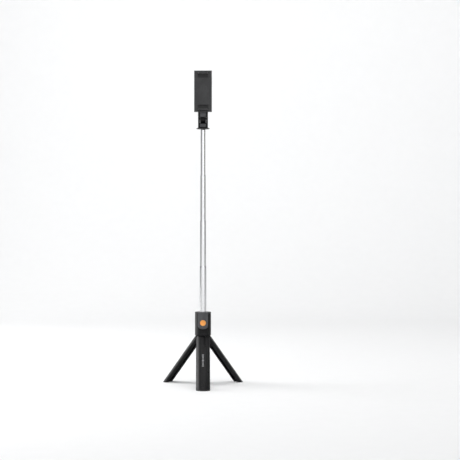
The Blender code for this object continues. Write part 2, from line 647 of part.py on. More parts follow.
def build_clamp(arm, finish):
    swivel = pivot("clamp_swivel", arm, (0.0, -CLAMP_BACK, CLAMP_Z))
    low, high = CLAMP_Z - BODY_HALF_LENGTH, CLAMP_Z + BODY_HALF_LENGTH
    wide = CLAMP_HALF_WIDTH
    floor = CLAMP_BACK + BASE_THICKNESS
    tray = cut(box((-wide, wide), (-CLAMP_RIM, -CLAMP_BACK), (low, high)),
               box((RIM_WIDTH - wide, wide - RIM_WIDTH), (-40.0, -floor), (low - 1.0, high + 1.0)))
    guides = (CLAMP_Z - GUIDE_LEVEL, CLAMP_Z + GUIDE_LEVEL)
    for level in guides:
        guide = box((RIM_WIDTH - wide - 0.5, wide - RIM_WIDTH + 0.5), (-GUIDE_TOP, -floor + 0.5),
                    (level - GUIDE_HALF, level + GUIDE_HALF))
        tray = join(tray, guide)
    channels = [(side * x, ROD_R + GAP) for x in ROD_X.values() for side in (-1, 1)]
    channels += [(x, SPRING_R + WIRE_R + GAP) for x in SPRING_X.values()]
    for x, radius in channels:
        for level in guides:
            tray = cut(tray, prism(circle(radius, (x, -ROD_LEVEL), 12), level - 3.0, level + 3.0))
    tray = cut(tray, prism(circle(SWIVEL_R + GAP, (0.0, CLAMP_Z), 20), -30.0, -20.0, "Y"))
    add("clamp_back_plate", tray, finish["clamp_plastic"], swivel)

    face_x = wide - RIM_WIDTH - GAP
    pad = box((-face_x, face_x), (-CLAMP_FACE, -PAD_BACK), (low + 0.2, high - 0.2))
    add("clamp_front_pad", pad, finish["clamp_plastic"], swivel)
    head_back, head_front = SWIVEL_HEAD_SPAN
    tail_back, tail_front = SWIVEL_TAIL_SPAN
    rivet = turned([(0.0, head_back), (SWIVEL_HEAD_R, head_back), (SWIVEL_HEAD_R, head_front),
                    (SWIVEL_R, head_front), (SWIVEL_R, tail_back), (SWIVEL_TAIL_R, tail_back),
                    (SWIVEL_TAIL_R, tail_front), (0.0, tail_front)], 24)
    add("swivel_rivet", moved_to(rivet, (0.0, 0.0, CLAMP_Z), "Y"), finish["steel"], swivel)
    for name, side in (("upper", 1), ("lower", -1)):
        near, far = sorted((CLAMP_Z + side * 2.0, CLAMP_Z + side * (BODY_HALF_LENGTH - 0.2)))
        coil = moved_to(spring_coil(near, far), (SPRING_X[name], -ROD_LEVEL, 0.0))
        add("jaw_spring_" + name, coil, finish["steel"], swivel)
        build_jaw(swivel, name, side, finish)


def span(side, near, far):
    """Heights of a stretch measured from the clamp's middle towards its upper or lower end."""
    return sorted((CLAMP_Z + side * near, CLAMP_Z + side * far))


def build_jaw(swivel, name, side, finish):
    slide = pivot("jaw_slide_" + name, swivel, (0.0, -ROD_LEVEL, CLAMP_Z + side * BODY_HALF_LENGTH))
    wide = CLAMP_HALF_WIDTH
    inner_end = BODY_HALF_LENGTH + GAP
    block = box((-wide, wide), (-CLAMP_FACE, -CLAMP_BACK), span(side, inner_end, CLAMP_HALF_LENGTH))
    block = cut(block, box((-WINDOW_HALF, WINDOW_HALF), (-40.0, -WINDOW_FLOOR),
                           span(side, WINDOW_NEAR, WINDOW_FAR)))
    rod_x = ROD_X[name]
    for x in (-rod_x, rod_x):
        block = cut(block, prism(circle(ROD_R + 0.25, (x, -ROD_LEVEL), 12), *span(side, 20.0, 34.0)))
    hinge = CLAMP_Z + side * CLAW_HINGE
    block = cut(block, prism(circle(CLAW_PIN_R + 0.25, (-CLAW_LEVEL, hinge), 12), -12.0, 12.0, "X"))
    add("jaw_block_" + name, block, finish["clamp_plastic"], slide)
    for rod_side, x in (("left", -rod_x), ("right", rod_x)):
        rod = prism(circle(ROD_R, (x, -ROD_LEVEL), 12), *span(side, *ROD_SPAN))
        add("jaw_rod_%s_%s" % (name, rod_side), rod, finish["steel"], slide)
    pin = prism(circle(CLAW_PIN_R, (-CLAW_LEVEL, hinge), 12), -CLAW_PIN_HALF, CLAW_PIN_HALF, "X")
    add("claw_pin_" + name, pin, finish["steel"], slide)

    flip = pivot("claw_flip_" + name, slide, (0.0, -CLAW_LEVEL, hinge))
    half = CLAW_HALF_THICKNESS
    view = arc((-CLAW_LEVEL, hinge), half, -0.5 * math.pi, 0.5 * math.pi, 10)
    tip = -CLAW_LEVEL - CLAW_REACH
    view += [(tip + 0.8, hinge + half), (tip, hinge + half - 0.8)]
    view += [(tip, hinge - half + 0.8), (tip + 0.8, hinge - half)]
    claw = prism(view, -CLAW_HALF_WIDTH, CLAW_HALF_WIDTH, "X")
    claw = cut(claw, prism(circle(CLAW_PIN_R + 0.25, (-CLAW_LEVEL, hinge), 12), -12.0, 12.0, "X"))
    add("claw_" + name, claw, finish["clamp_plastic"], flip)
    grip_low, grip_high = span(side, GRIP_FACE, CLAW_HINGE - half - GAP)
    grip = box((-GRIP_HALF, GRIP_HALF), (tip + 1.0, -CLAMP_RIM - 0.6), (grip_low, grip_high))
    add("claw_grip_pad_" + name, grip, finish["rubber"], flip)


# ---------------------------------------------------------------- remote

def build_remote(root, finish):
    slide = pivot("remote_slide", root, (0.0, -REMOTE_BACK, REMOTE_TOP - REMOTE_HEIGHT))
    curve = prism(circle(REMOTE_FRONT_R, (0.0, REMOTE_FRONT_R - REMOTE_FRONT), 120),
                  HEAD_BOTTOM - 5.0, HEAD_TOP + 5.0)
    halves = {
        "front": (-30.0, -REMOTE_SPLIT - 0.5 * GAP),
        "back": (-REMOTE_SPLIT + 0.5 * GAP, -REMOTE_BACK),
    }
    cell_z = HEAD_TOP - CELL_DROP
    cavity = prism(remote_outline(REMOTE_WALL), -CAVITY_FRONT, -REMOTE_BACK - 0.8, "Y")
    for name, (near, far) in halves.items():
        shell = keep(prism(remote_outline(), near, far, "Y"), curve.copy())
        shell = cut(shell, cavity.copy())
        if name == "front":
            pocket = prism(circle(BUTTON_POCKET_R, (0.0, BUTTON_Z)), -BUTTON_POCKET, -REMOTE_SPLIT, "Y")
            hole = prism(circle(BUTTON_R + GAP, (0.0, BUTTON_Z)), -30.0, -10.0, "Y")
            shell = cut(shell, pocket, hole)
        else:
            shell = cut(shell, prism(circle(DOOR_R + GAP, (0.0, cell_z)), -12.0, -5.0, "Y"))
        add("remote_%s_shell" % name, shell, finish["satin_grey"], slide)
    cavity.free()
    curve.free()

    cell_back, cell_front = CELL_SPAN
    door = prism(circle(DOOR_R, (0.0, cell_z)), GAP - cell_back, -REMOTE_BACK, "Y")
    coin_slot = box((-4.0, 4.0), (-REMOTE_BACK - 0.35, -8.0), (cell_z - 0.8, cell_z + 0.8))
    add("battery_door", cut(door, coin_slot), finish["satin_grey"], slide)
    cell = turned([(0.0, cell_back), (CELL_R - 0.1, cell_back), (CELL_R, cell_back + 0.15),
                   (CELL_R, cell_front - 0.2), (CELL_R - 1.2, cell_front), (0.0, cell_front)])
    add("coin_cell", moved_to(cell, (0.0, 0.0, cell_z), "Y"), finish["steel"], slide)
    back, front = BOARD_SPAN
    board = box((-BOARD_HALF, BOARD_HALF), (-front, -back), (HEAD_TOP - 28.0, HEAD_TOP - 3.0))
    add("circuit_board", board, finish["circuit_green"], slide)
    back, front = SWITCH_SPAN
    switch = box((-SWITCH_HALF, SWITCH_HALF), (-front, -back),
                 (BUTTON_Z - SWITCH_HALF, BUTTON_Z + SWITCH_HALF))
    add("tact_switch", switch, finish["steel"], slide)

    press = pivot("button_press", slide, (0.0, -BUTTON_FACE, BUTTON_Z))
    back, front = BUTTON_FLANGE
    stem_r = BUTTON_FLANGE_R - 2.4
    button = turned([(0.0, BUTTON_STEM), (stem_r, BUTTON_STEM), (stem_r, back), (BUTTON_FLANGE_R, back),
                     (BUTTON_FLANGE_R, front), (BUTTON_R, front), (BUTTON_R, BUTTON_FACE - 0.4),
                     (BUTTON_R - 0.4, BUTTON_FACE), (4.4, BUTTON_FACE), (3.6, BUTTON_FACE - 0.25),
                     (0.0, BUTTON_FACE - 0.3)])
    add("remote_button", moved_to(button, (0.0, 0.0, BUTTON_Z), "Y"), finish["orange"], press)


# ---------------------------------------------------------------- whole stick

def centre_footprint(root):
    """Move the stick so that the middle of its outline, seen from above, is at the origin."""
    bpy.context.view_layer.update()
    spread = []
    for obj in bpy.data.objects:
        if obj.type == "MESH":
            spread += [(obj.matrix_world @ vertex.co).y for vertex in obj.data.vertices]
    root.location.y = -0.5 * (min(spread) + max(spread))
    bpy.context.view_layer.update()


def main():
    clear_scene()
    finish = make_finishes()
    root = pivot("stick")
    build_handle(root, finish)
    build_yoke(root, finish)
    build_legs(root, finish)
    mast = build_mast(root, finish)
    neck = build_neck(mast, finish)
    arm = build_arm(neck, finish)
    build_clamp(arm, finish)
    build_remote(root, finish)
    centre_footprint(root)


main()
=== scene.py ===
"""Looks of the selfie stick: detailed shells, mast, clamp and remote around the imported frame.

Shapes are drawn in millimetres in the stick's own frame, with the mast axis at x = y = 0, and moved
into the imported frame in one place, piece(). Heights come from the frame's nodes and joints.
"""

import json
import math

import bmesh
import bpy
from mathutils import Matrix, Vector


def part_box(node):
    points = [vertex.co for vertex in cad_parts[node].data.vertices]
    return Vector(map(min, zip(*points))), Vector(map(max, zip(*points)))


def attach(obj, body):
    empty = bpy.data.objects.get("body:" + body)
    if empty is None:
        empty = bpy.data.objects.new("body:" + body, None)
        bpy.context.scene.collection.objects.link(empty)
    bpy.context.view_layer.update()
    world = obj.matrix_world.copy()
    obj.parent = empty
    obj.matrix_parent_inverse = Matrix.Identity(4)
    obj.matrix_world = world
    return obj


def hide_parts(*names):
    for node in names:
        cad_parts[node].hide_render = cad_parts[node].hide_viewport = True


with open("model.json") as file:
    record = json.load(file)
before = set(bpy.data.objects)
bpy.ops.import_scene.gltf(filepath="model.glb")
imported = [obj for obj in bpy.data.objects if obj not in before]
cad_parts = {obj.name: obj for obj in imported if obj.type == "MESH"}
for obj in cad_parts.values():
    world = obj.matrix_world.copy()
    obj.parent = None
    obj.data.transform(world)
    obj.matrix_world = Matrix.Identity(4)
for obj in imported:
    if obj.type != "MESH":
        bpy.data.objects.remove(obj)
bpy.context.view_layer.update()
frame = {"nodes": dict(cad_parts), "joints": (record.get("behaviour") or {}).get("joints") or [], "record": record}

MM = 0.001
JOINTS = {joint["name"]: joint for joint in frame["joints"]}


def low(node):
    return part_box(node)[0] / MM


def high(node):
    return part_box(node)[1] / MM


def joint_height(name):
    return JOINTS[name]["pos_m"][2] / MM


# Places read from the frame
MAST_Y = 0.5 * (low("outer_tube").y + high("outer_tube").y)
HEAD_BOTTOM = low("head_front_shell").z
SHELL_TOP = high("head_front_shell").z
HEAD_TOP = high("head_top_collar").z
NECK_Z = low("neck_body").z
HINGE_Z = joint_height("arm_fold")
CLAMP_Z = joint_height("clamp_swivel")
PIN_Z = joint_height("leg_swing_front")
BUTTON_Z = 0.5 * (low("remote_button").z + high("remote_button").z)
REMOTE_TOP = high("remote_front_shell").z
REMOTE_BOTTOM = low("remote_front_shell").z
HANDLE_R = high("head_front_shell").x

# The open end of a cutter, well past the stick on either side
FAR = 40.0

# Details of the shapes, as the solids have them
GAP = 0.3
BORE_R = 8.05
SHELL_SCREW_X = 12.0
LEG_OPEN = math.radians(-JOINTS["leg_swing_front"]["range_deg"][0])
LEG_AZIMUTHS = {"front": -90.0, "right": 30.0, "left": 150.0}
PIN_RADIAL = 11.8
PIN_DROP = HEAD_BOTTOM - PIN_Z
FOOT_DROP = (PIN_Z + (HANDLE_R - PIN_RADIAL) * math.sin(LEG_OPEN)) / math.cos(LEG_OPEN)
LEG_HALF_ANGLE = math.radians(58.8)
LEG_WALL = 1.9
LEG_INNER_R = 8.6
LEG_RIB_INNER_R = 10.8
FOOT_PAD = 1.9
COVER_RISE = 2.05
FOOT_CORNER = 3.6
TUBE_WALL = 0.35
DOCK_FLOOR = 9.4
REMOTE_HALF = 10.4
REMOTE_CHIN = 7.0
REMOTE_FRONT = 16.9
REMOTE_FRONT_R = 22.0
REMOTE_WALL = 1.3
BUTTON_R = 5.75
BUTTON_FACE = 17.5
FLANGE_R = 13.5
NECK_HALF_WIDTH = 10.0
NECK_HALF_DEPTH = 9.5
FLANGE_HIGH = 2.6
EAR_INNER = 7.1
KNUCKLE_R = 9.2
KNUCKLE_HALF = 6.0
BOLT_R = 1.8
PIN_HOLE_R = 1.2
ARM_BACK = 18.5
ARM_FRONT = 25.0
ARM_HALF = 10.0
SWIVEL_R = 1.9
CLAMP_HALF_WIDTH = 17.8
CLAMP_BACK = 26.5
CLAMP_FACE = 32.5
CLAMP_RIM = 32.9
RIM_WIDTH = 2.1
BODY_HALF_LENGTH = 26.5
CLAMP_HALF_LENGTH = 41.5
ROD_LEVEL = 29.5
WINDOW_HALF = 10.0
WINDOW_SPAN = (27.9, 38.3)
WINDOW_FLOOR = 27.6
CLAW_HINGE = 36.6
CLAW_LEVEL = 30.9
CLAW_REACH = 8.4
CLAW_HALF_THICKNESS = 1.5
CLAW_HALF_WIDTH = 9.4
CLAW_HOLE_R = 0.85
GRIP_LEVEL = 34.3


# ---------------------------------------------------------------- outlines and closed shapes

def arc(centre, radius, start, end, steps):
    """Points along an arc, ends included; angles in radians."""
    turns = [start + (end - start) * i / steps for i in range(steps + 1)]
    return [(centre[0] + radius * math.cos(a), centre[1] + radius * math.sin(a)) for a in turns]


def circle(radius, centre=(0.0, 0.0), steps=64):
    return arc(centre, radius, 0.0, 2.0 * math.pi, steps)[:-1]


def rounded_rectangle(x0, x1, y0, y1, radius, steps=6):
    corners = [(x1 - radius, y1 - radius, 0.0), (x0 + radius, y1 - radius, 0.5),
               (x0 + radius, y0 + radius, 1.0), (x1 - radius, y0 + radius, 1.5)]
    points = []
    for cx, cy, quarter in corners:
        points += arc((cx, cy), radius, quarter * math.pi, (quarter + 0.5) * math.pi, steps)
    return points


def mirrored(side, near, far):
    """The stretch between two distances from the middle, on the side given by 1 or -1."""
    return sorted((side * near, side * far))


def prism(outline, start, end, along="Z"):
    """Extrude a closed outline. Along Z it lies in XY, along Y in XZ, along X in YZ."""
    spread = {"Z": lambda u, v, w: (u, v, w),
              "Y": lambda u, v, w: (u, w, v),
              "X": lambda u, v, w: (w, u, v)}[along]
    shape = bmesh.new()
    base = shape.faces.new([shape.verts.new(spread(u, v, start)) for u, v in outline])
    grown = bmesh.ops.extrude_face_region(shape, geom=[base])
    moved = [item for item in grown["geom"] if isinstance(item, bmesh.types.BMVert)]
    bmesh.ops.translate(shape, vec=spread(0.0, 0.0, end - start), verts=moved)
    bmesh.ops.recalc_face_normals(shape, faces=shape.faces)
    return shape


def box(x, y, z):
    """A block from three (low, high) pairs."""
    return prism([(x[0], y[0]), (x[1], y[0]), (x[1], y[1]), (x[0], y[1])], *z)


def turned(profile, steps):
    """Turn a closed (radius, height) profile about Z; a zero radius closes onto the axis."""
    shape = bmesh.new()
    rings = []
    for radius, height in profile:
        if radius == 0.0:
            rings.append([shape.verts.new((0.0, 0.0, height))])
        else:
            rings.append([shape.verts.new((x, y, height)) for x, y in circle(radius, steps=steps)])
    for lower, upper in zip(rings, rings[1:] + rings[:1]):
        if len(lower) == len(upper) == 1:
            continue
        for i in range(steps):
            j = (i + 1) % steps
            corners = [lower[i % len(lower)], lower[j % len(lower)],
                       upper[j % len(upper)], upper[i % len(upper)]]
            shape.faces.new(list(dict.fromkeys(corners)))
    bmesh.ops.recalc_face_normals(shape, faces=shape.faces)
    return shape


def laid(shape, place, axis="Z"):
    """Lay a Z-axis shape along another axis, then move it."""
    lay = {"Z": Matrix.Identity(4),
           "Y": Matrix.Rotation(math.radians(90.0), 4, "X"),
           "-Y": Matrix.Rotation(math.radians(-90.0), 4, "X"),
           "X": Matrix.Rotation(math.radians(90.0), 4, "Y")}[axis]
    bmesh.ops.transform(shape, matrix=Matrix.Translation(place) @ lay, verts=shape.verts)
    return shape


def combine(first, second, operation):
    """Boolean two closed shapes into one."""
    pair = []
    for shape in (first, second):
        mesh = bpy.data.meshes.new("boolean_input")
        shape.to_mesh(mesh)
        shape.free()
        pair.append(bpy.data.objects.new("boolean_input", mesh))
        bpy.context.scene.collection.objects.link(pair[-1])
    modifier = pair[0].modifiers.new("combine", "BOOLEAN")
    modifier.operation = operation
    modifier.solver = "EXACT"
    modifier.object = pair[1]
    result = bmesh.new()
    result.from_object(pair[0], bpy.context.evaluated_depsgraph_get())
    for obj in pair:
        mesh = obj.data
        bpy.data.objects.remove(obj, do_unlink=True)
        bpy.data.meshes.remove(mesh)
    return result


def cut(shape, *cutters):
    for cutter in cutters:
        shape = combine(shape, cutter, "DIFFERENCE")
    return shape


def join(shape, *others):
    for other in others:
        shape = combine(shape, other, "UNION")
    return shape


def keep(shape, region):
    return combine(shape, region, "INTERSECT")


def groove(points, width, start, end):
    """A narrow cutter of one width that follows a line of (x, z) points."""
    left, right = [], []
    for i, point in enumerate(points):
        before = Vector(points[max(i - 1, 0)])
        after = Vector(points[min(i + 1, len(points) - 1)])
        forward = (after - before).normalized()
        side = Vector((-forward.y, forward.x)) * 0.5 * width
        left.append(tuple(Vector(point) + side))
        right.append(tuple(Vector(point) - side))
    return prism(left + right[::-1], start, end, "Y")


def piece(name, shape, material, body, stands_for=(), soften=0.0, steps=3, place=None):
    """Make a named piece of a closed shape, soften its edges, and let it ride on a body."""
    move = Matrix.Translation((0.0, MAST_Y, 0.0)) @ (place or Matrix.Identity(4))
    bmesh.ops.transform(shape, matrix=Matrix.Scale(MM, 4) @ move, verts=shape.verts)
    bmesh.ops.remove_doubles(shape, verts=shape.verts, dist=1e-7)
    mesh = bpy.data.meshes.new(name)
    shape.to_mesh(mesh)
    shape.free()
    mesh.materials.append(material)
    mesh.shade_smooth()
    obj = bpy.data.objects.new(name, mesh)
    bpy.context.scene.collection.objects.link(obj)
    if soften:
        bevel = obj.modifiers.new("soften", "BEVEL")
        bevel.width = soften * MM
        bevel.segments = steps
        bevel.limit_method = "ANGLE"
        bevel.angle_limit = math.radians(32.0)
        bevel.miter_outer = "MITER_ARC"
        weigh = obj.modifiers.new("weigh_normals", "WEIGHTED_NORMAL")
        weigh.keep_sharp = True
    else:
        mesh.set_sharp_from_angle(angle=math.radians(32.0))
    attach(obj, body)
    if stands_for:
        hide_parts(*stands_for)
    return obj


# ---------------------------------------------------------------- materials

def shader_tree(name):
    material = bpy.data.materials.new(name)
    material.use_nodes = True
    tree = material.node_tree
    return material, tree, tree.nodes["Principled BSDF"]


def noise(tree, scale, detail=2.0, roughness=0.5, stretch=None):
    """Noise in the piece's own metres; stretch scales each axis."""
    place = tree.nodes.new("ShaderNodeTexCoord")
    source = place.outputs["Object"]
    if stretch:
        mapping = tree.nodes.new("ShaderNodeMapping")
        mapping.inputs["Scale"].default_value = stretch
        tree.links.new(source, mapping.inputs["Vector"])
        source = mapping.outputs["Vector"]
    texture = tree.nodes.new("ShaderNodeTexNoise")
    texture.inputs["Scale"].default_value = scale
    texture.inputs["Detail"].default_value = detail
    texture.inputs["Roughness"].default_value = roughness
    tree.links.new(source, texture.inputs["Vector"])
    return texture.outputs["Fac"]


def remap(tree, source, start, end, to_start, to_end):
    node = tree.nodes.new("ShaderNodeMapRange")
    node.inputs["From Min"].default_value = start
    node.inputs["From Max"].default_value = end
    node.inputs["To Min"].default_value = to_start
    node.inputs["To Max"].default_value = to_end
    tree.links.new(source, node.inputs["Value"])
    return node.outputs["Result"]


def mix_colour(tree, factor, first, second):
    """Blend two colours; either may be a colour or another node's output."""
    node = tree.nodes.new("ShaderNodeMix")
    node.data_type = "RGBA"
    tree.links.new(factor, node.inputs["Factor"])
    for socket, colour in ((node.inputs["A"], first), (node.inputs["B"], second)):
        if isinstance(colour, tuple):
            socket.default_value = (*colour, 1.0)
        else:
            tree.links.new(colour, socket)
    return node.outputs["Result"]


def add_bump(tree, shader, height, strength, distance):
    bump = tree.nodes.new("ShaderNodeBump")
    bump.inputs["Strength"].default_value = strength
    bump.inputs["Distance"].default_value = distance
    tree.links.new(height, bump.inputs["Height"])
    tree.links.new(bump.outputs["Normal"], shader.inputs["Normal"])


def edge_wear(tree, colour, worn, amount):
    """Lighten convex edges a little, broken up by noise."""
    geometry = tree.nodes.new("ShaderNodeNewGeometry")
    edge = remap(tree, geometry.outputs["Pointiness"], 0.52, 0.60, 0.0, amount)
    breakup = remap(tree, noise(tree, 420.0, 3.0), 0.35, 0.65, 0.2, 1.0)
    both = tree.nodes.new("ShaderNodeMath")
    both.operation = "MULTIPLY"
    tree.links.new(edge, both.inputs[0])
    tree.links.new(breakup, both.inputs[1])
    return mix_colour(tree, both.outputs["Value"], colour, worn)


def plastic(name, colour, rough=0.42, grain=0.10, wear=0.35, specular=0.32):
    """Moulded plastic: spark-eroded grain, faint mottling, and edges polished by hands."""
    material, tree, shader = shader_tree(name)
    darker = tuple(0.86 * c for c in colour)
    lighter = tuple(1.14 * c for c in colour)
    mottle = remap(tree, noise(tree, 55.0, 3.0), 0.3, 0.7, 0.0, 1.0)
    base = mix_colour(tree, mottle, darker, lighter)
    worn = tuple(min(1.0, 1.9 * c + 0.01) for c in colour)
    tree.links.new(edge_wear(tree, base, worn, wear), shader.inputs["Base Color"])
    handling = remap(tree, noise(tree, 130.0, 4.0, 0.6), 0.3, 0.7, rough - 0.06, rough + 0.07)
    tree.links.new(handling, shader.inputs["Roughness"])
    add_bump(tree, shader, noise(tree, 2600.0, 2.0, 0.6), grain, 0.00008)
    shader.inputs["Specular IOR Level"].default_value = specular
    return material


def rubber(name, colour):
    """Soft matte rubber with a dusty sheen and a pebbled skin."""
    material, tree, shader = shader_tree(name)
    dust = remap(tree, noise(tree, 90.0, 5.0, 0.65), 0.42, 0.72, 0.0, 0.6)
    dusty = tuple(c + 0.022 for c in colour)
    tree.links.new(mix_colour(tree, dust, colour, dusty), shader.inputs["Base Color"])
    tree.links.new(remap(tree, noise(tree, 240.0), 0.3, 0.7, 0.72, 0.88), shader.inputs["Roughness"])
    add_bump(tree, shader, noise(tree, 1900.0, 2.0), 0.25, 0.0001)
    shader.inputs["Sheen Weight"].default_value = 0.15
    shader.inputs["Sheen Roughness"].default_value = 0.5
    return material


def drawn_steel(name, colour, rough, streak):
    """Drawn and polished steel: fine lines along Z, with fingerprints in the gloss."""
    material, tree, shader = shader_tree(name)
    lines = noise(tree, 1.0, 3.0, 0.6, stretch=(1500.0, 1500.0, 14.0))
    tint = remap(tree, lines, 0.3, 0.7, 0.0, 1.0)
    darker = tuple(0.90 * c for c in colour)
    tree.links.new(mix_colour(tree, tint, darker, colour), shader.inputs["Base Color"])
    smudge = noise(tree, 60.0, 4.0, 0.6)
    total = tree.nodes.new("ShaderNodeMath")
    total.operation = "ADD"
    tree.links.new(remap(tree, smudge, 0.35, 0.7, rough - 0.03, rough + 0.06), total.inputs[0])
    tree.links.new(remap(tree, lines, 0.3, 0.7, 0.0, streak), total.inputs[1])
    tree.links.new(total.outputs["Value"], shader.inputs["Roughness"])
    add_bump(tree, shader, lines, 0.08, 0.00003)
    shader.inputs["Metallic"].default_value = 1.0
    return material


def circuit(name):
    """Green solder resist with faint copper tracks below it."""
    material, tree, shader = shader_tree(name)
    bricks = tree.nodes.new("ShaderNodeTexBrick")
    place = tree.nodes.new("ShaderNodeTexCoord")
    tree.links.new(place.outputs["Object"], bricks.inputs["Vector"])
    bricks.inputs["Scale"].default_value = 700.0
    bricks.inputs["Color1"].default_value = (0.012, 0.12, 0.045, 1.0)
    bricks.inputs["Color2"].default_value = (0.018, 0.15, 0.055, 1.0)
    bricks.inputs["Mortar"].default_value = (0.05, 0.24, 0.09, 1.0)
    tree.links.new(bricks.outputs["Color"], shader.inputs["Base Color"])
    tree.links.new(remap(tree, noise(tree, 200.0), 0.3, 0.7, 0.28, 0.4), shader.inputs["Roughness"])
    return material


def make_materials():
    """One material for each of the record's slots."""
    return {
        "black_plastic": plastic("black_plastic", (0.0042, 0.0042, 0.0046), rough=0.31, specular=0.16),
        "satin_grey": plastic("satin_grey", (0.062, 0.063, 0.067), rough=0.40, grain=0.07),
        "clamp_plastic": plastic("clamp_plastic", (0.030, 0.030, 0.031), rough=0.42, grain=0.14),
        "rubber": rubber("rubber", (0.012, 0.012, 0.012)),
        "stainless": drawn_steel("stainless", (0.80, 0.80, 0.81), 0.16, 0.06),
        "steel": drawn_steel("steel", (0.60, 0.60, 0.61), 0.26, 0.08),
        "orange": plastic("orange", (0.88, 0.36, 0.085), rough=0.38, grain=0.05, wear=0.15),
        "circuit_green": circuit("circuit_green"),
        "white_acetal": plastic("white_acetal", (0.62, 0.62, 0.59), rough=0.40, grain=0.05, wear=0.1),
    }


# ---------------------------------------------------------------- handle

def remote_outline(inset=0.0, grow_top=0.0):
    """Front view of the remote: straight sides, rounded top corners and a curved chin."""
    half = REMOTE_HALF - inset
    top = REMOTE_TOP - inset + grow_top
    chin = REMOTE_CHIN - inset
    chin_start = REMOTE_BOTTOM + REMOTE_CHIN
    corner = 0.9
    points = arc((half - corner, top - corner), corner, 0.0, 0.5 * math.pi, 5)
    points += arc((corner - half, top - corner), corner, 0.5 * math.pi, math.pi, 5)
    for x, z in arc((0.0, 0.0), 1.0, math.pi, 2.0 * math.pi, 48):
        points.append((half * x, chin_start + chin * z))
    return points


def shell_screw_level():
    return 0.5 * (low("shell_screw_left").z + high("shell_screw_left").z)


def cross_recess(radius, depth, width):
    """A cross-head driver recess that opens at z = 0 and goes down."""
    bar = box((-radius, radius), (-0.5 * width, 0.5 * width), (-depth, depth))
    other = box((-0.5 * width, 0.5 * width), (-radius, radius), (-depth, depth))
    return join(bar, other)


def thumb_notch():
    """An ellipsoid that cuts the notch for pushing the remote up out of its dock."""
    half_width, half_depth, half_height = 6.4, 3.6, 3.4
    depth, drop = 1.3, 1.9
    notch = bmesh.new()
    bmesh.ops.create_uvsphere(notch, u_segments=48, v_segments=24, radius=1.0)
    size = Matrix.Diagonal((half_width, half_depth, half_height, 1.0))
    place = Matrix.Translation((0.0, depth - half_depth - HANDLE_R, REMOTE_BOTTOM - drop))
    bmesh.ops.transform(notch, matrix=place @ size, verts=notch.verts)
    return notch


def shell_screw():
    """A pan head screw with a cross recess, its tip at z = 0."""
    shank_r, head_r = 1.0, 2.2
    under_head, end = 14.7, 16.3
    screw = turned([(0.0, 0.0), (shank_r, 0.0), (shank_r, under_head), (head_r, under_head),
                    (head_r, end - 0.6), (head_r - 0.5, end), (0.0, end)], 32)
    return cut(screw, laid(cross_recess(1.3, 0.9, 0.45), (0.0, 0.0, end)))


def build_head(paint):
    """The top of the handle: front shell with the dock, rear shell, two screws, and a collar."""
    black = paint["black_plastic"]
    bore = prism(circle(BORE_R), HEAD_BOTTOM - 1.0, HEAD_TOP + 1.0)
    dock = prism(remote_outline(-GAP, 5.0), -FAR, -DOCK_FLOOR, "Y")
    seam = 0.008

    front = prism(arc((0.0, 0.0), HANDLE_R, math.pi + seam, 2.0 * math.pi - seam, 80),
                  HEAD_BOTTOM, SHELL_TOP)
    front = cut(front, bore.copy(), dock.copy(), thumb_notch())
    piece("head_front_cover", front, black, "handle", ["head_front_shell"], 0.35)

    rear = prism(arc((0.0, 0.0), HANDLE_R, seam, math.pi - seam, 80), HEAD_BOTTOM, SHELL_TOP)
    level = shell_screw_level()
    screw_tip, hole_r, hole_start = 6.5, 2.5, 7.9
    holes = [prism(circle(hole_r, (side * SHELL_SCREW_X, level), 32), hole_start, FAR, "Y")
             for side in (-1, 1)]
    piece("head_rear_cover", cut(rear, bore.copy(), *holes), black, "handle",
          ["head_rear_shell"], 0.35)
    for side, name in ((-1, "left"), (1, "right")):
        screw = laid(shell_screw(), (side * SHELL_SCREW_X, -screw_tip, level), "-Y")
        piece("shell_screw_head_" + name, screw, paint["steel"], "handle",
              ["shell_screw_" + name], 0.08, 2)

    base, rounding = SHELL_TOP + GAP, 1.3
    edge = arc((HANDLE_R - rounding, HEAD_TOP - rounding), rounding, 0.0, 0.5 * math.pi, 8)
    collar = turned([(BORE_R, base), (HANDLE_R - 0.25, base), (HANDLE_R, base + 0.25)] + edge
                    + [(BORE_R + 0.9, HEAD_TOP), (BORE_R, HEAD_TOP - 0.6)], 160)
    piece("head_collar", cut(collar, dock), black, "handle", ["head_top_collar"],
          0.18, 2)
    bore.free()


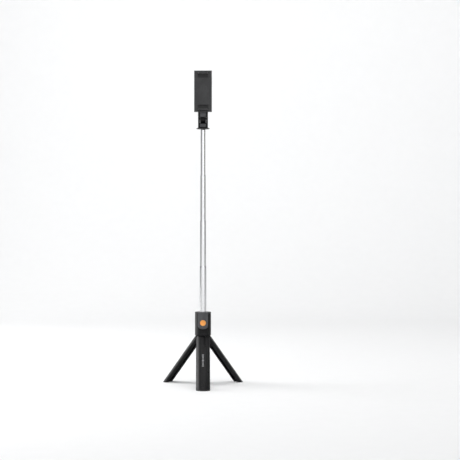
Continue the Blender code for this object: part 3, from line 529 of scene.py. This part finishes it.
def build_remote(paint):
    """The remote's hollow, curved face, and its button with a dished top."""
    grey = paint["satin_grey"]
    front_curve = arc((0.0, REMOTE_FRONT_R - REMOTE_FRONT), REMOTE_FRONT_R,
                      math.radians(-130.0), math.radians(-50.0), 40)
    curve = prism(front_curve + [(14.0, 0.0), (-14.0, 0.0)], HEAD_BOTTOM - 5.0, HEAD_TOP + 5.0)
    split = -0.5 * (high("remote_front_shell").y + low("remote_back_shell").y) + MAST_Y
    cavity_front, cavity_back = 13.9, 10.4
    cavity = prism(remote_outline(REMOTE_WALL), -cavity_front, -cavity_back, "Y")
    flange_r, flange_front, pocket_back = 6.4, 15.1, 12.0
    pocket = prism(circle(flange_r + 0.35, (0.0, BUTTON_Z), 48), -flange_front - 0.25,
                   -pocket_back, "Y")
    opening = prism(circle(BUTTON_R + 0.22, (0.0, BUTTON_Z), 72), -FAR, -cavity_back, "Y")
    face = keep(prism(remote_outline(), -FAR, -split - 0.08, "Y"), curve)
    face = cut(face, cavity, pocket, opening)
    piece("remote_face", face, grey, "remote", ["remote_front_shell"], 0.45, 4)

    back, rounding = flange_front - 0.45, 0.6
    profile = [(0.0, back + 0.25), (4.0, back + 0.25), (4.0, back), (flange_r, back),
               (flange_r, flange_front), (BUTTON_R, flange_front)]
    profile += arc((BUTTON_R - rounding, BUTTON_FACE - rounding), rounding, 0.0, 0.5 * math.pi, 6)
    profile += [(4.6, BUTTON_FACE - 0.04), (3.4, BUTTON_FACE - 0.20), (2.55, BUTTON_FACE - 0.28),
                (2.45, BUTTON_FACE - 0.44), (2.05, BUTTON_FACE - 0.44), (1.95, BUTTON_FACE - 0.31),
                (1.0, BUTTON_FACE - 0.33), (0.0, BUTTON_FACE - 0.34)]
    button = laid(turned(profile, 96), (0.0, 0.0, BUTTON_Z), "Y")
    piece("remote_button_cap", button, paint["orange"], "button", ["remote_button"])


# ---------------------------------------------------------------- legs

def sector(inner, outer, half_angle, wall=None):
    """A leg's cross-section about the mast axis, hollow towards the mast where wall is given."""
    centre = (-PIN_RADIAL, 0.0)
    points = arc(centre, outer, -half_angle, half_angle, 48)
    if wall is None:
        return points + arc(centre, inner, half_angle, -half_angle, 24)
    lip = half_angle - math.asin(wall / inner)
    shoulder = half_angle - math.asin(wall / (outer - wall))
    points += arc(centre, inner, half_angle, lip, 1)
    points += arc(centre, outer - wall, shoulder, -shoulder, 40)
    return points + arc(centre, inner, -lip, -half_angle, 1)


def floor_line(x, rise):
    """Height in the leg's frame of a plane parallel to the floor when the leg is open."""
    sole = -FOOT_DROP - (x - (HANDLE_R - PIN_RADIAL)) * math.tan(LEG_OPEN)
    return sole + rise / math.cos(LEG_OPEN)


def side_band(rise_low, rise_high):
    """Side view of what lies between two planes parallel to the floor."""
    x0, x1 = -PIN_RADIAL, HANDLE_R
    return [(x0, floor_line(x0, rise_low)), (x1, floor_line(x1, rise_low)),
            (x1, floor_line(x1, rise_high)), (x0, floor_line(x0, rise_high))]


def leg_side_view():
    """Side view of a leg: cut flat for the floor, and eased where it turns under the head."""
    top = PIN_DROP - GAP
    x0, x1 = -PIN_RADIAL, HANDLE_R
    points = [(x0, floor_line(x0, COVER_RISE)), (x1, floor_line(x1, COVER_RISE))]
    knee = (top * math.sin(LEG_OPEN), top * math.cos(LEG_OPEN))
    points.append((x1, knee[1] - (x1 - knee[0]) * math.tan(LEG_OPEN)))
    points += arc((0.0, 0.0), top, 0.5 * math.pi - LEG_OPEN, 0.5 * math.pi, 10)
    return points + [(x0, top)]


def foot_view():
    """Front view of a leg: its sole follows the floor, and its two bottom corners are rounded."""
    def sole(angle):
        drop = floor_line(HANDLE_R * math.cos(angle) - PIN_RADIAL, 0.0)
        return (HANDLE_R * math.sin(angle), drop)

    half_width, corner = sole(LEG_HALF_ANGLE)
    half_width += 0.2
    margin = 0.5
    start = math.asin((half_width - FOOT_CORNER) / HANDLE_R)
    depth = corner + FOOT_CORNER - sole(start)[1]
    along_floor = [sole(0.1 * i * start) for i in range(10)]
    right = [(x, z - margin) for x, z in along_floor]
    for x, z in arc((0.0, 0.0), 1.0, -0.5 * math.pi, 0.0, 10):
        right.append((half_width - FOOT_CORNER + FOOT_CORNER * x, corner + FOOT_CORNER + depth * z))
    right.append((half_width, PIN_DROP + 1.0))
    return right + [(-x, z) for x, z in right[:0:-1]]


def leg_cover():
    """A leg's C-shaped cover with an end wall, hinge cheeks and cross ribs."""
    top = PIN_DROP
    bottom = floor_line(HANDLE_R, 0.0)
    shell = prism(sector(LEG_INNER_R, HANDLE_R, LEG_HALF_ANGLE, LEG_WALL), bottom, top)
    centre = (-PIN_RADIAL, 0.0)
    yoke_depth, shoulder_low = 5.5, 1.1
    shell = cut(shell, prism(circle(LEG_RIB_INNER_R, centre), -yoke_depth, top + 1.0))
    for side in (-1, 1):
        near, far = mirrored(side, math.radians(50.0), math.radians(66.0))
        corner = arc(centre, HANDLE_R + 3.0, near, far, 4)
        corner += arc(centre, LEG_INNER_R - 1.0, far, near, 4)
        shell = cut(shell, prism(corner, shoulder_low, top + 1.0))
    filled = prism(sector(LEG_INNER_R, HANDLE_R, LEG_HALF_ANGLE), bottom, top)
    end_wall = prism(side_band(COVER_RISE, FOOT_PAD + 2.8), -FAR, FAR, "Y")
    shell = join(shell, keep(filled, end_wall))
    cheek_low, cheek_depth = -9.0, 2.9
    cheek = arc((0.0, 0.0), PIN_HOLE_R + 1.0, 0.5 * math.pi, 1.5 * math.pi, 14)
    cheek += [(1.0, cheek_low), (cheek_depth, cheek_low), (cheek_depth, 1.0)]
    for side in (-1, 1):
        shell = join(shell, prism(cheek, *mirrored(side, 3.4, 6.4), "Y"))
    rib_thickness = 1.4
    for share in (0.20, 0.36, 0.52, 0.68, 0.84):
        level = -share * FOOT_DROP
        rib = sector(LEG_RIB_INNER_R, HANDLE_R - 0.5, LEG_HALF_ANGLE - 0.06)
        shell = join(shell, prism(rib, level, level + rib_thickness))
    shell = keep(shell, prism(leg_side_view(), -FAR, FAR, "Y"))
    shell = keep(shell, prism(foot_view(), -FAR, FAR, "X"))
    pin_half = 8.0
    return cut(shell, prism(circle(PIN_HOLE_R, steps=24), -pin_half, pin_half, "Y"))


def leg_mark():
    """A plain printed mark half way down the front leg: a ladder of short ticks."""
    centre = (-PIN_RADIAL, 0.0)
    top, pitch, height = -0.34 * FOOT_DROP, 3.2, 1.3
    ticks = []
    for i in range(9):
        spread = (1.9 if i % 4 == 0 else 1.3) / HANDLE_R
        outline = arc(centre, HANDLE_R + 0.05, -spread, spread, 8)
        outline += arc(centre, HANDLE_R - 0.2, spread, -spread, 8)
        level = top - pitch * i
        ticks.append(prism(outline, level - height, level))
    return join(*ticks)


def foot_sole():
    """A leg's rubber end, flat on the floor, with grooves across its tread."""
    filled = prism(sector(LEG_INNER_R, HANDLE_R, LEG_HALF_ANGLE), floor_line(HANDLE_R, 0.0), 0.0)
    sole = keep(filled, prism(side_band(0.0, FOOT_PAD), -FAR, FAR, "Y"))
    sole = keep(sole, prism(foot_view(), -FAR, FAR, "X"))
    half_groove, groove_rise = 0.5, 0.6
    for offset in (-6.0, -2.0, 2.0, 6.0):
        tread = prism(side_band(-1.0, groove_rise), offset - half_groove, offset + half_groove, "Y")
        sole = cut(sole, tread)
    return sole


def build_legs(paint):
    """Three legs, drawn upright about their hinge pins and laid open as the frame has them."""
    for name, azimuth in LEG_AZIMUTHS.items():
        angle = math.radians(azimuth)
        pivot = Matrix.Translation((PIN_RADIAL * math.cos(angle), PIN_RADIAL * math.sin(angle), PIN_Z))
        place = pivot @ Matrix.Rotation(angle, 4, "Z") @ Matrix.Rotation(-LEG_OPEN, 4, "Y")
        body = "leg_" + name
        piece("leg_cover_" + name, leg_cover(), paint["black_plastic"], body,
              ["leg_shell_" + name], 0.45, 3, place)
        piece("foot_sole_" + name, foot_sole(), paint["rubber"], body,
              ["foot_pad_" + name], 0.3, 3, place)
        if name == "front":
            piece("leg_mark", leg_mark(), paint["mark"], body, place=place)


# ---------------------------------------------------------------- mast

def mast_tube(radius, start, end):
    """A thin tube whose upper end is crimped in towards the section it guides.

    The rings near both ends keep the shading of the long wall level.
    """
    inner = radius - TUBE_WALL
    profile = [(inner, start + 1.0), (inner, start), (radius - 0.1, start), (radius, start + 0.2)]
    profile += [(radius, start + 1.0), (radius, end - 3.0), (radius, end - 2.0)]
    profile += [(radius - 0.03, end - 1.6), (radius - 0.10, end - 1.1), (radius - 0.20, end - 0.45),
                (radius - 0.26, end - 0.12), (radius - 0.33, end), (radius - 0.48, end - 0.05),
                (radius - 0.52, end - 0.3), (inner, end - 1.8), (inner, end - 3.0)]
    return turned(profile, 96)


def build_mast(paint):
    """The five tubes, each on its own body; returned for the lights."""
    tubes = {"outer_tube": "handle"}
    tubes.update({"tube_section_%d" % i: "mast_%d" % i for i in range(1, 5)})
    made = []
    for node, body in tubes.items():
        tube = mast_tube(high(node).x, low(node).z, high(node).z)
        made.append(piece("polished_" + node, tube, paint["stainless"], body, [node]))
    return made


# ---------------------------------------------------------------- neck and arm

def build_neck(paint):
    """The flanged fork on the mast, its front cover, and the hinge's bolt and nut."""
    top = NECK_Z + FLANGE_HIGH
    flange = turned([(0.0, NECK_Z), (FLANGE_R - 0.8, NECK_Z), (FLANGE_R - 0.2, NECK_Z + 0.4),
                     (FLANGE_R, NECK_Z + 1.0), (FLANGE_R - 0.15, NECK_Z + 1.5),
                     (FLANGE_R - 1.8, NECK_Z + 2.3), (FLANGE_R - 3.0, top), (0.0, top)], 128)
    view = [(-NECK_HALF_DEPTH, top - 0.6), (NECK_HALF_DEPTH, top - 0.6)]
    view += arc((0.0, HINGE_Z), NECK_HALF_DEPTH, 0.0, math.pi, 48)
    slot_low = HINGE_Z - KNUCKLE_R - 0.5
    neck = join(flange, prism(view, -NECK_HALF_WIDTH, NECK_HALF_WIDTH, "X"))
    fork_half = KNUCKLE_HALF + GAP
    washer_pocket_r, nut_pocket_r, nut_seat = 6.4, 4.1, 8.4
    neck = cut(neck, box((-fork_half, fork_half), (-FAR, FAR), (slot_low, HINGE_Z + FAR)),
               prism(circle(washer_pocket_r, (0.0, HINGE_Z), 48), -EAR_INNER, EAR_INNER, "X"),
               prism(circle(BOLT_R + GAP, (0.0, HINGE_Z), 32), -FAR, FAR, "X"))
    inset, panel_depth = 2.0, 0.5
    panel = [(inset - NECK_HALF_DEPTH, top + 1.2), (NECK_HALF_DEPTH - inset, top + 1.2)]
    panel += arc((0.0, HINGE_Z), NECK_HALF_DEPTH - inset, 0.0, math.pi, 40)
    for side in (-1, 1):
        neck = cut(neck, prism(panel, *mirrored(side, NECK_HALF_WIDTH - panel_depth, FAR), "X"),
                   prism(circle(nut_pocket_r, (0.0, HINGE_Z), 48), *mirrored(side, nut_seat, FAR), "X"))
    cover_half, cover_front, cover_back = 5.9, 9.4, 8.6
    panel_low, panel_high = NECK_Z + 3.6, slot_low - 1.2
    neck = cut(neck, box((-cover_half - GAP, cover_half + GAP), (-FAR, GAP - cover_back),
                         (panel_low, panel_high)))
    piece("neck_fork", neck, paint["black_plastic"], "neck", ["neck_body"], 0.4)

    cover = prism(rounded_rectangle(-cover_half, cover_half, panel_low + GAP, panel_high - GAP, 0.8),
                  -cover_front, -cover_back, "Y")
    middle = 0.5 * (panel_low + panel_high)
    slit = prism(rounded_rectangle(-2.4, 2.4, middle - 0.6, middle + 0.6, 0.55),
                 -FAR, 0.45 - cover_front, "Y")
    piece("neck_cover", cut(cover, slit), paint["satin_grey"], "neck",
          ["neck_front_panel"], 0.2)

    head_r, under_head, head_end, tip = 3.8, -8.6, -9.7, 9.6
    bolt = turned([(0.0, head_end), (head_r - 0.5, head_end), (head_r, head_end + 0.4),
                   (head_r, under_head), (BOLT_R, under_head), (BOLT_R, tip - 0.3),
                   (BOLT_R - 0.3, tip), (0.0, tip)], 48)
    socket = prism(circle(1.9, steps=6), -FAR, head_end + 0.7)
    piece("hinge_bolt_head", laid(cut(bolt, socket), (0.0, 0.0, HINGE_Z), "X"), paint["steel"], "neck",
          ["hinge_bolt"], 0.1, 2)
    nut_r, nut_base, nut_end = 3.8, 8.7, 9.7
    chamfer = [(0.0, nut_base - 0.1), (nut_r, nut_base - 0.1), (nut_r, nut_end - 0.4),
               (nut_r - 0.6, nut_end + 0.05), (0.0, nut_end + 0.05)]
    nut = cut(prism(circle(nut_r, steps=6), nut_base, nut_end),
              prism(circle(BOLT_R + 0.2, steps=32), 0.0, FAR))
    nut = keep(nut, turned(chamfer, 48))
    piece("hinge_locknut", laid(nut, (0.0, 0.0, HINGE_Z), "X"), paint["steel"], "neck",
          ["hinge_nut"], 0.08, 2)


def build_arm(paint):
    """The cranked arm, ribbed at the back, with a pale strip down its lower front."""
    base = HINGE_Z + 1.8
    web_high = HINGE_Z + 9.0
    step = NECK_HALF_DEPTH + 0.7
    corner = 5.0
    fillet, rounding = 2.0, 3.0
    crank = [(-step, base), (-step, web_high)]
    crank += arc((-ARM_BACK + fillet, web_high + fillet), fillet, -0.5 * math.pi, -math.pi, 8)
    crank += [(-ARM_BACK, CLAMP_Z + ARM_HALF), (-ARM_FRONT, CLAMP_Z + ARM_HALF)]
    crank += arc((-ARM_FRONT + corner, base + corner), corner, math.pi, 1.5 * math.pi, 20)
    front_view = arc((0.0, CLAMP_Z), ARM_HALF, 0.0, math.pi, 48)
    front_view += arc((-ARM_HALF + rounding, base + rounding), rounding, math.pi, 1.5 * math.pi, 10)
    front_view += arc((ARM_HALF - rounding, base + rounding), rounding,
                      1.5 * math.pi, 2.0 * math.pi, 10)
    plate = keep(prism(crank, -ARM_HALF, ARM_HALF, "X"), prism(front_view, -FAR, 0.0, "Y"))
    knuckle = prism(circle(KNUCKLE_R, (0.0, HINGE_Z), 96), -KNUCKLE_HALF, KNUCKLE_HALF, "X")
    tongue = box((-KNUCKLE_HALF, KNUCKLE_HALF), (-16.0, -2.0), (base, web_high))
    arm = join(plate, join(knuckle, tongue))
    recess_half, recess_low, recess_high = 6.8, HINGE_Z + 13.0, CLAMP_Z - 9.5
    recess = rounded_rectangle(-recess_half, recess_half, recess_low, recess_high, 2.0)
    arm = cut(arm, prism(recess, -21.5, 0.0, "Y"),
              prism(circle(5.8, (0.0, CLAMP_Z), 64), -21.9, 0.0, "Y"),
              prism(circle(SWIVEL_R + GAP, (0.0, CLAMP_Z), 32), -FAR, 0.0, "Y"),
              prism(circle(BOLT_R + GAP, (0.0, HINGE_Z), 32), -FAR, FAR, "X"))
    rib_depth, rib_half = (-21.9, -19.3), 0.6
    for level in (HINGE_Z + 19.5, HINGE_Z + 27.5, HINGE_Z + 35.5):
        rib = box((-recess_half - 0.4, recess_half + 0.4), rib_depth, (level, level + 2.0 * rib_half))
        arm = join(arm, rib)
    arm = join(arm, box((-rib_half, rib_half), rib_depth, (recess_low - 0.4, recess_high + 0.5)))
    piece("arm_casting", arm, paint["black_plastic"], "arm", ["clamp_arm"], 0.4)
    proud, sunk, half_width = 0.2, 1.0, 5.8
    strip_top, strip_end = CLAMP_Z - 14.0, 1.36 * math.pi
    centre = (-ARM_FRONT + corner, base + corner)
    strip = [(-ARM_FRONT + sunk, strip_top), (-ARM_FRONT - proud, strip_top)]
    strip += arc(centre, corner + proud, math.pi, strip_end, 20)
    strip += arc(centre, corner - sunk, strip_end, math.pi, 20)
    piece("arm_inlay", prism(strip, -half_width, half_width, "X"), paint["satin_grey"], "arm",
          soften=0.15, steps=2)


# ---------------------------------------------------------------- clamp

def span(side, near, far):
    """Heights of a stretch measured from the clamp's middle towards its upper or lower end."""
    return sorted((CLAMP_Z + side * near, CLAMP_Z + side * far))


def smooth_line(points, steps):
    """A Catmull-Rom curve through the given points."""
    line = []
    padded = [points[0]] + points + [points[-1]]
    for a, b, c, d in zip(padded, padded[1:], padded[2:], padded[3:]):
        for i in range(steps):
            t = i / steps
            line.append(tuple(0.5 * (2.0 * q + (r - p) * t + (2.0 * p - 5.0 * q + 4.0 * r - s) * t * t
                                     + (3.0 * q - p - 3.0 * r + s) * t ** 3)
                              for p, q, r, s in zip(a, b, c, d)))
    return line + [points[-1]]


def build_clamp_body(paint):
    """The clamp's middle: tray, engraved face, and the rivet it turns on."""
    material = paint["clamp_plastic"]
    start, end = CLAMP_Z - BODY_HALF_LENGTH, CLAMP_Z + BODY_HALF_LENGTH
    wide = CLAMP_HALF_WIDTH
    floor = CLAMP_BACK + 1.6
    tray = cut(box((-wide, wide), (-CLAMP_RIM, -CLAMP_BACK), (start, end)),
               box((RIM_WIDTH - wide, wide - RIM_WIDTH), (-FAR, -floor), (start - 1.0, end + 1.0)))
    line_x, line_z, line_width, engraved = wide - 2.6, 2.4, 0.7, 0.35
    frame_out = rounded_rectangle(-line_x, line_x, start + line_z, end - line_z, 2.0)
    inner_x, inner_z = line_x - line_width, line_z + line_width
    frame_in = rounded_rectangle(-inner_x, inner_x, start + inner_z, end - inner_z, 1.5)
    ring = cut(prism(frame_out, -CLAMP_BACK - engraved, 0.0, "Y"), prism(frame_in, -FAR, FAR, "Y"))
    tray = cut(tray, ring, prism(circle(SWIVEL_R + GAP, (0.0, CLAMP_Z), 32), -FAR, 0.0, "Y"))
    slot_half_width, slot_half_length = 0.5, 3.0
    for x in (-16.4, 16.4):
        for level in (CLAMP_Z - 18.0, CLAMP_Z + 18.0):
            slot = rounded_rectangle(x - slot_half_width, x + slot_half_width,
                                     level - slot_half_length, level + slot_half_length, 0.45)
            tray = cut(tray, prism(slot, -CLAMP_BACK - 0.5, 0.0, "Y"))
    piece("clamp_tray", tray, material, "clamp", ["clamp_back_plate"], 0.4)

    face_x = wide - RIM_WIDTH - 0.12
    pad_back, engraved = 31.2, 0.38
    pad = box((-face_x, face_x), (-CLAMP_FACE, -pad_back), (start + 0.1, end - 0.1))
    deep = engraved - CLAMP_FACE
    tip, side_tip = 15.8, face_x - 1.1
    diamond = [(0.0, tip), (side_tip, 0.0), (0.0, -tip), (-side_tip, 0.0)]
    for first, second in zip(diamond, diamond[1:] + diamond[:1]):
        line = [(x, CLAMP_Z + z) for x, z in (first, second)]
        pad = cut(pad, groove(line, 0.55, -FAR, deep))
    for side in (-1, 1):
        hook = [(face_x + 0.4, 25.6), (11.5, 25.5), (8.6, 25.2), (6.6, 23.9), (5.0, 21.6),
                (3.2, 19.3), (0.6, 18.2), (-1.9, 18.8), (-3.4, 20.4)]
        tick = [(-2.0, 22.2), (-0.6, 22.9), (0.9, 22.7)]
        for points, steps, width in ((hook, 10, 0.6), (tick, 6, 0.5)):
            line = [(side * x, CLAMP_Z + side * z) for x, z in smooth_line(points, steps)]
            pad = cut(pad, groove(line, width, -FAR, deep))
    piece("clamp_face", pad, material, "clamp", ["clamp_front_pad"], 0.16, 2)

    back, under_head, far_head, front = 19.4, 21.6, 28.5, 29.6
    head_r, far_head_r = 5.0, 3.4
    rivet = turned([(0.0, back), (head_r - 0.8, back), (head_r, back + 0.7), (head_r, under_head),
                    (SWIVEL_R, under_head), (SWIVEL_R, far_head), (far_head_r, far_head),
                    (far_head_r, front), (0.0, front)], 64)
    recess = laid(cross_recess(2.6, 1.3, 0.8), (0.0, 0.0, back))
    piece("swivel_rivet_head", laid(cut(rivet, recess), (0.0, 0.0, CLAMP_Z), "Y"), paint["steel"],
          "clamp", ["swivel_rivet"], 0.12, 2)


def build_jaws(paint):
    """The clamp's two ends, each with a window for its claw and slits in its sides."""
    material = paint["clamp_plastic"]
    wide = CLAMP_HALF_WIDTH
    for name, side in (("upper", 1), ("lower", -1)):
        length = span(side, BODY_HALF_LENGTH + 0.05, CLAMP_HALF_LENGTH)
        block = box((-wide, wide), (-CLAMP_FACE, -CLAMP_BACK), length)
        for end in (-1, 1):
            rim = box(mirrored(end, wide - RIM_WIDTH, wide), (-CLAMP_RIM, -30.0), length)
            block = join(block, rim)
        window = rounded_rectangle(-WINDOW_HALF, WINDOW_HALF, *span(side, *WINDOW_SPAN), 0.35)
        block = cut(block, prism(window, -FAR, -WINDOW_FLOOR, "Y"))
        lip_width, lip_depth = 0.7, 0.35
        lip = rounded_rectangle(-WINDOW_HALF - lip_width, WINDOW_HALF + lip_width,
                                *span(side, WINDOW_SPAN[0] - 0.5, WINDOW_SPAN[1] + lip_width), 0.7)
        block = cut(block, prism(lip, -FAR, lip_depth - CLAMP_FACE, "Y"))
        slit_half, slit_depth = 0.3, 0.35
        for level in (30.2, 31.8, 33.4, 35.0, 36.6, 38.2):
            for end in (-1, 1):
                slit = box(mirrored(end, wide - slit_depth, FAR), (-31.6, -27.4),
                           span(side, level - slit_half, level + slit_half))
                block = cut(block, slit)
        rod_r, rod_hole_r = 0.9, 1.15
        rod_x = high("jaw_rod_%s_right" % name).x - rod_r
        for x in (-rod_x, rod_x):
            hole = prism(circle(rod_hole_r, (x, -ROD_LEVEL), 24), *span(side, 20.0, 34.0))
            block = cut(block, hole)
        hinge = CLAMP_Z + side * CLAW_HINGE
        pin_half = 12.0
        pin_hole = prism(circle(CLAW_HOLE_R, (-CLAW_LEVEL, hinge), 24), -pin_half, pin_half, "X")
        piece("jaw_end_" + name, cut(block, pin_hole), material, "jaw_" + name,
              ["jaw_block_" + name], 0.28)
        build_claw(paint, name, side, hinge)


def build_claw(paint, name, side, hinge):
    """A flip-out claw: ribbed on the side away from the phone, padded on the grip side."""
    half = CLAW_HALF_THICKNESS
    view = arc((-CLAW_LEVEL, hinge), half, -0.5 * math.pi, 0.5 * math.pi, 24)
    tip, rounding = -CLAW_LEVEL - CLAW_REACH, 1.0
    view += arc((tip + rounding, hinge + half - rounding), rounding, 0.5 * math.pi, math.pi, 6)
    view += arc((tip + rounding, hinge - half + rounding), rounding, math.pi, 1.5 * math.pi, 6)
    claw = prism(view, -CLAW_HALF_WIDTH, CLAW_HALF_WIDTH, "X")
    rib_depth, rib_half_width, rib_end = 0.55, 0.42, CLAW_HALF_WIDTH - 1.0
    for share in (0.24, 0.46, 0.68, 0.88):
        y = -CLAW_LEVEL - share * CLAW_REACH
        claw = cut(claw, box((-rib_end, rib_end), (y - rib_half_width, y + rib_half_width),
                             span(side, CLAW_HINGE + half - rib_depth, CLAMP_HALF_LENGTH)))
    claw = cut(claw, prism(circle(CLAW_HOLE_R, (-CLAW_LEVEL, hinge), 24), -FAR, FAR, "X"))
    piece("claw_finger_" + name, claw, paint["clamp_plastic"], name + "_claw", ["claw_" + name],
          0.2)
    pad_half_width, pad_back = 8.8, CLAMP_RIM + 0.6
    pad = box((-pad_half_width, pad_half_width), (tip + 1.0, -pad_back),
              span(side, GRIP_LEVEL, CLAW_HINGE - half - 0.05))
    groove_pitch, groove_half, groove_depth = 2.0, 0.35, 0.28
    for i in range(-4, 5):
        x = groove_pitch * i
        pad = cut(pad, box((x - groove_half, x + groove_half), (tip, -30.0),
                           span(side, GRIP_LEVEL - 0.5, GRIP_LEVEL + groove_depth)))
    piece("claw_rubber_" + name, pad, paint["rubber"], name + "_claw",
          ["claw_grip_pad_" + name], 0.1, 2)


# ---------------------------------------------------------------- frame nodes, stage, light, camera

def paint_frame_nodes(paint):
    """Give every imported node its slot's material; the replaced ones are hidden already."""
    for part in frame["record"]["subparts"]:
        data = frame["nodes"][part["node"]].data
        data.materials.clear()
        data.materials.append(paint[part["material_slot"]])


def build_stage():
    """A pale floor that curves up into a backdrop behind the stick."""
    material, tree, shader = shader_tree("studio_paper")
    fibre = remap(tree, noise(tree, 35.0, 4.0), 0.3, 0.7, 0.0, 1.0)
    tree.links.new(mix_colour(tree, fibre, (0.812, 0.812, 0.812), (0.822, 0.822, 0.822)),
                   shader.inputs["Base Color"])
    shader.inputs["Roughness"].default_value = 0.85
    shader.inputs["Specular IOR Level"].default_value = 0.2
    near, far, bend, height, half_width = -4.0, 1.4, 0.9, 4.5, 5.0
    profile = [(near, 0.0), (far, 0.0)]
    profile += [(y, bend + z) for y, z in arc((far, 0.0), bend, -0.5 * math.pi, 0.0, 24)]
    profile += [(far + bend, height)]
    shape = bmesh.new()
    rows = [[shape.verts.new((x, y, z)) for x in (-half_width, half_width)] for y, z in profile]
    for lower, upper in zip(rows, rows[1:]):
        shape.faces.new((lower[0], lower[1], upper[1], upper[0]))
    mesh = bpy.data.meshes.new("studio_floor")
    shape.to_mesh(mesh)
    shape.free()
    mesh.shade_smooth()
    mesh.materials.append(material)
    floor = bpy.data.objects.new("studio_floor", mesh)
    bpy.context.scene.collection.objects.link(floor)
    return floor


def area_light(name, place, aim, size, power):
    """A rectangular light; places and sizes in metres, power in watts."""
    data = bpy.data.lights.new(name, "AREA")
    data.shape = "RECTANGLE"
    data.size, data.size_y = size
    data.energy = power
    light = bpy.data.objects.new(name, data)
    light.location = place
    light.rotation_euler = (Vector(aim) - Vector(place)).to_track_quat("-Z", "Y").to_euler()
    bpy.context.scene.collection.objects.link(light)
    return light


def reach(light, objects, state):
    """Let a light reach only the given objects, or all but them."""
    group = bpy.data.collections.new(light.name + "_reach")
    light.light_linking.receiver_collection = group
    for obj in objects:
        group.objects.link(obj)
    for entry in group.collection_objects:
        entry.light_linking.link_state = state


def build_light(floor, tubes):
    """Bright in front, paler above, and a soft box on the left for the black plastic.

    The left soft box leaves out the bare tubes, which stay bright between two grey edges. One light is
    for the floor alone, in front, where the tubes mirror it.
    """
    world = bpy.data.worlds.new("studio")
    world.use_nodes = True
    tree = world.node_tree
    place = tree.nodes.new("ShaderNodeTexCoord")
    axes = tree.nodes.new("ShaderNodeSeparateXYZ")
    tree.links.new(place.outputs["Generated"], axes.inputs["Vector"])
    front = remap(tree, axes.outputs["Y"], -0.95, -0.45, 1.3, 0.26)
    above = remap(tree, axes.outputs["Z"], 0.25, 1.0, 0.0, 0.35)
    glow = tree.nodes.new("ShaderNodeMath")
    glow.operation = "ADD"
    tree.links.new(front, glow.inputs[0])
    tree.links.new(above, glow.inputs[1])
    background = tree.nodes["Background"]
    background.inputs["Color"].default_value = (0.98, 0.99, 1.0, 1.0)
    tree.links.new(glow.outputs["Value"], background.inputs["Strength"])
    bpy.context.scene.world = world
    middle = (0.0, 0.0, 0.32)
    area_light("top_soft", (0.0, -0.3, 2.5), middle, size=(2.2, 2.2), power=19.5)
    left = area_light("soft_left", (-1.55, 0.35, 0.6), middle, size=(0.9, 1.7), power=30.0)
    reach(left, tubes, "EXCLUDE")
    near_floor = area_light("front_floor", (0.0, -3.2, 0.9), (0.0, -3.2, 0.0),
                            size=(9.0, 2.6), power=66.0)
    near_floor.data.spread = math.radians(80.0)
    reach(near_floor, [floor], "INCLUDE")
    area_light("window_right", (1.35, -2.0, 0.9), middle, size=(0.25, 1.3), power=3.0)
    for name, x in (("backdrop_left", -1.6), ("backdrop_right", 1.6)):
        area_light(name, (x, 0.2, 2.2), (0.0, 2.2, 0.9), size=(1.0, 1.0), power=5.5)
    bpy.context.scene.view_settings.view_transform = "Standard"


def build_camera():
    """Almost level front view, which looks down on the feet by about eight degrees."""
    fov = math.radians(22.0)
    elevation = math.radians(0.8)
    distance, aim_height = 2.42, 0.3166
    aim = Vector((0.0, MAST_Y * MM, aim_height))
    camera = bpy.data.cameras.new("camera")
    camera.sensor_width = 36.0
    camera.lens = 0.5 * camera.sensor_width / math.tan(0.5 * fov)
    camera.shift_x = 0.0587
    camera.clip_end = 50.0
    obj = bpy.data.objects.new("camera", camera)
    obj.location = aim + distance * Vector((0.0, -math.cos(elevation), math.sin(elevation)))
    obj.rotation_euler = (aim - obj.location).to_track_quat("-Z", "Y").to_euler()
    bpy.context.scene.collection.objects.link(obj)
    bpy.context.scene.camera = obj


def main():
    build_camera()
    floor = build_stage()
    paint = make_materials()
    paint_frame_nodes(paint)
    paint["mark"] = plastic("printed_mark", (0.42, 0.42, 0.43), rough=0.5, grain=0.03, wear=0.0)
    build_head(paint)
    build_remote(paint)
    build_legs(paint)
    build_light(floor, build_mast(paint))
    build_neck(paint)
    build_arm(paint)
    build_clamp_body(paint)
    build_jaws(paint)


main()

bpy.context.view_layer.update()
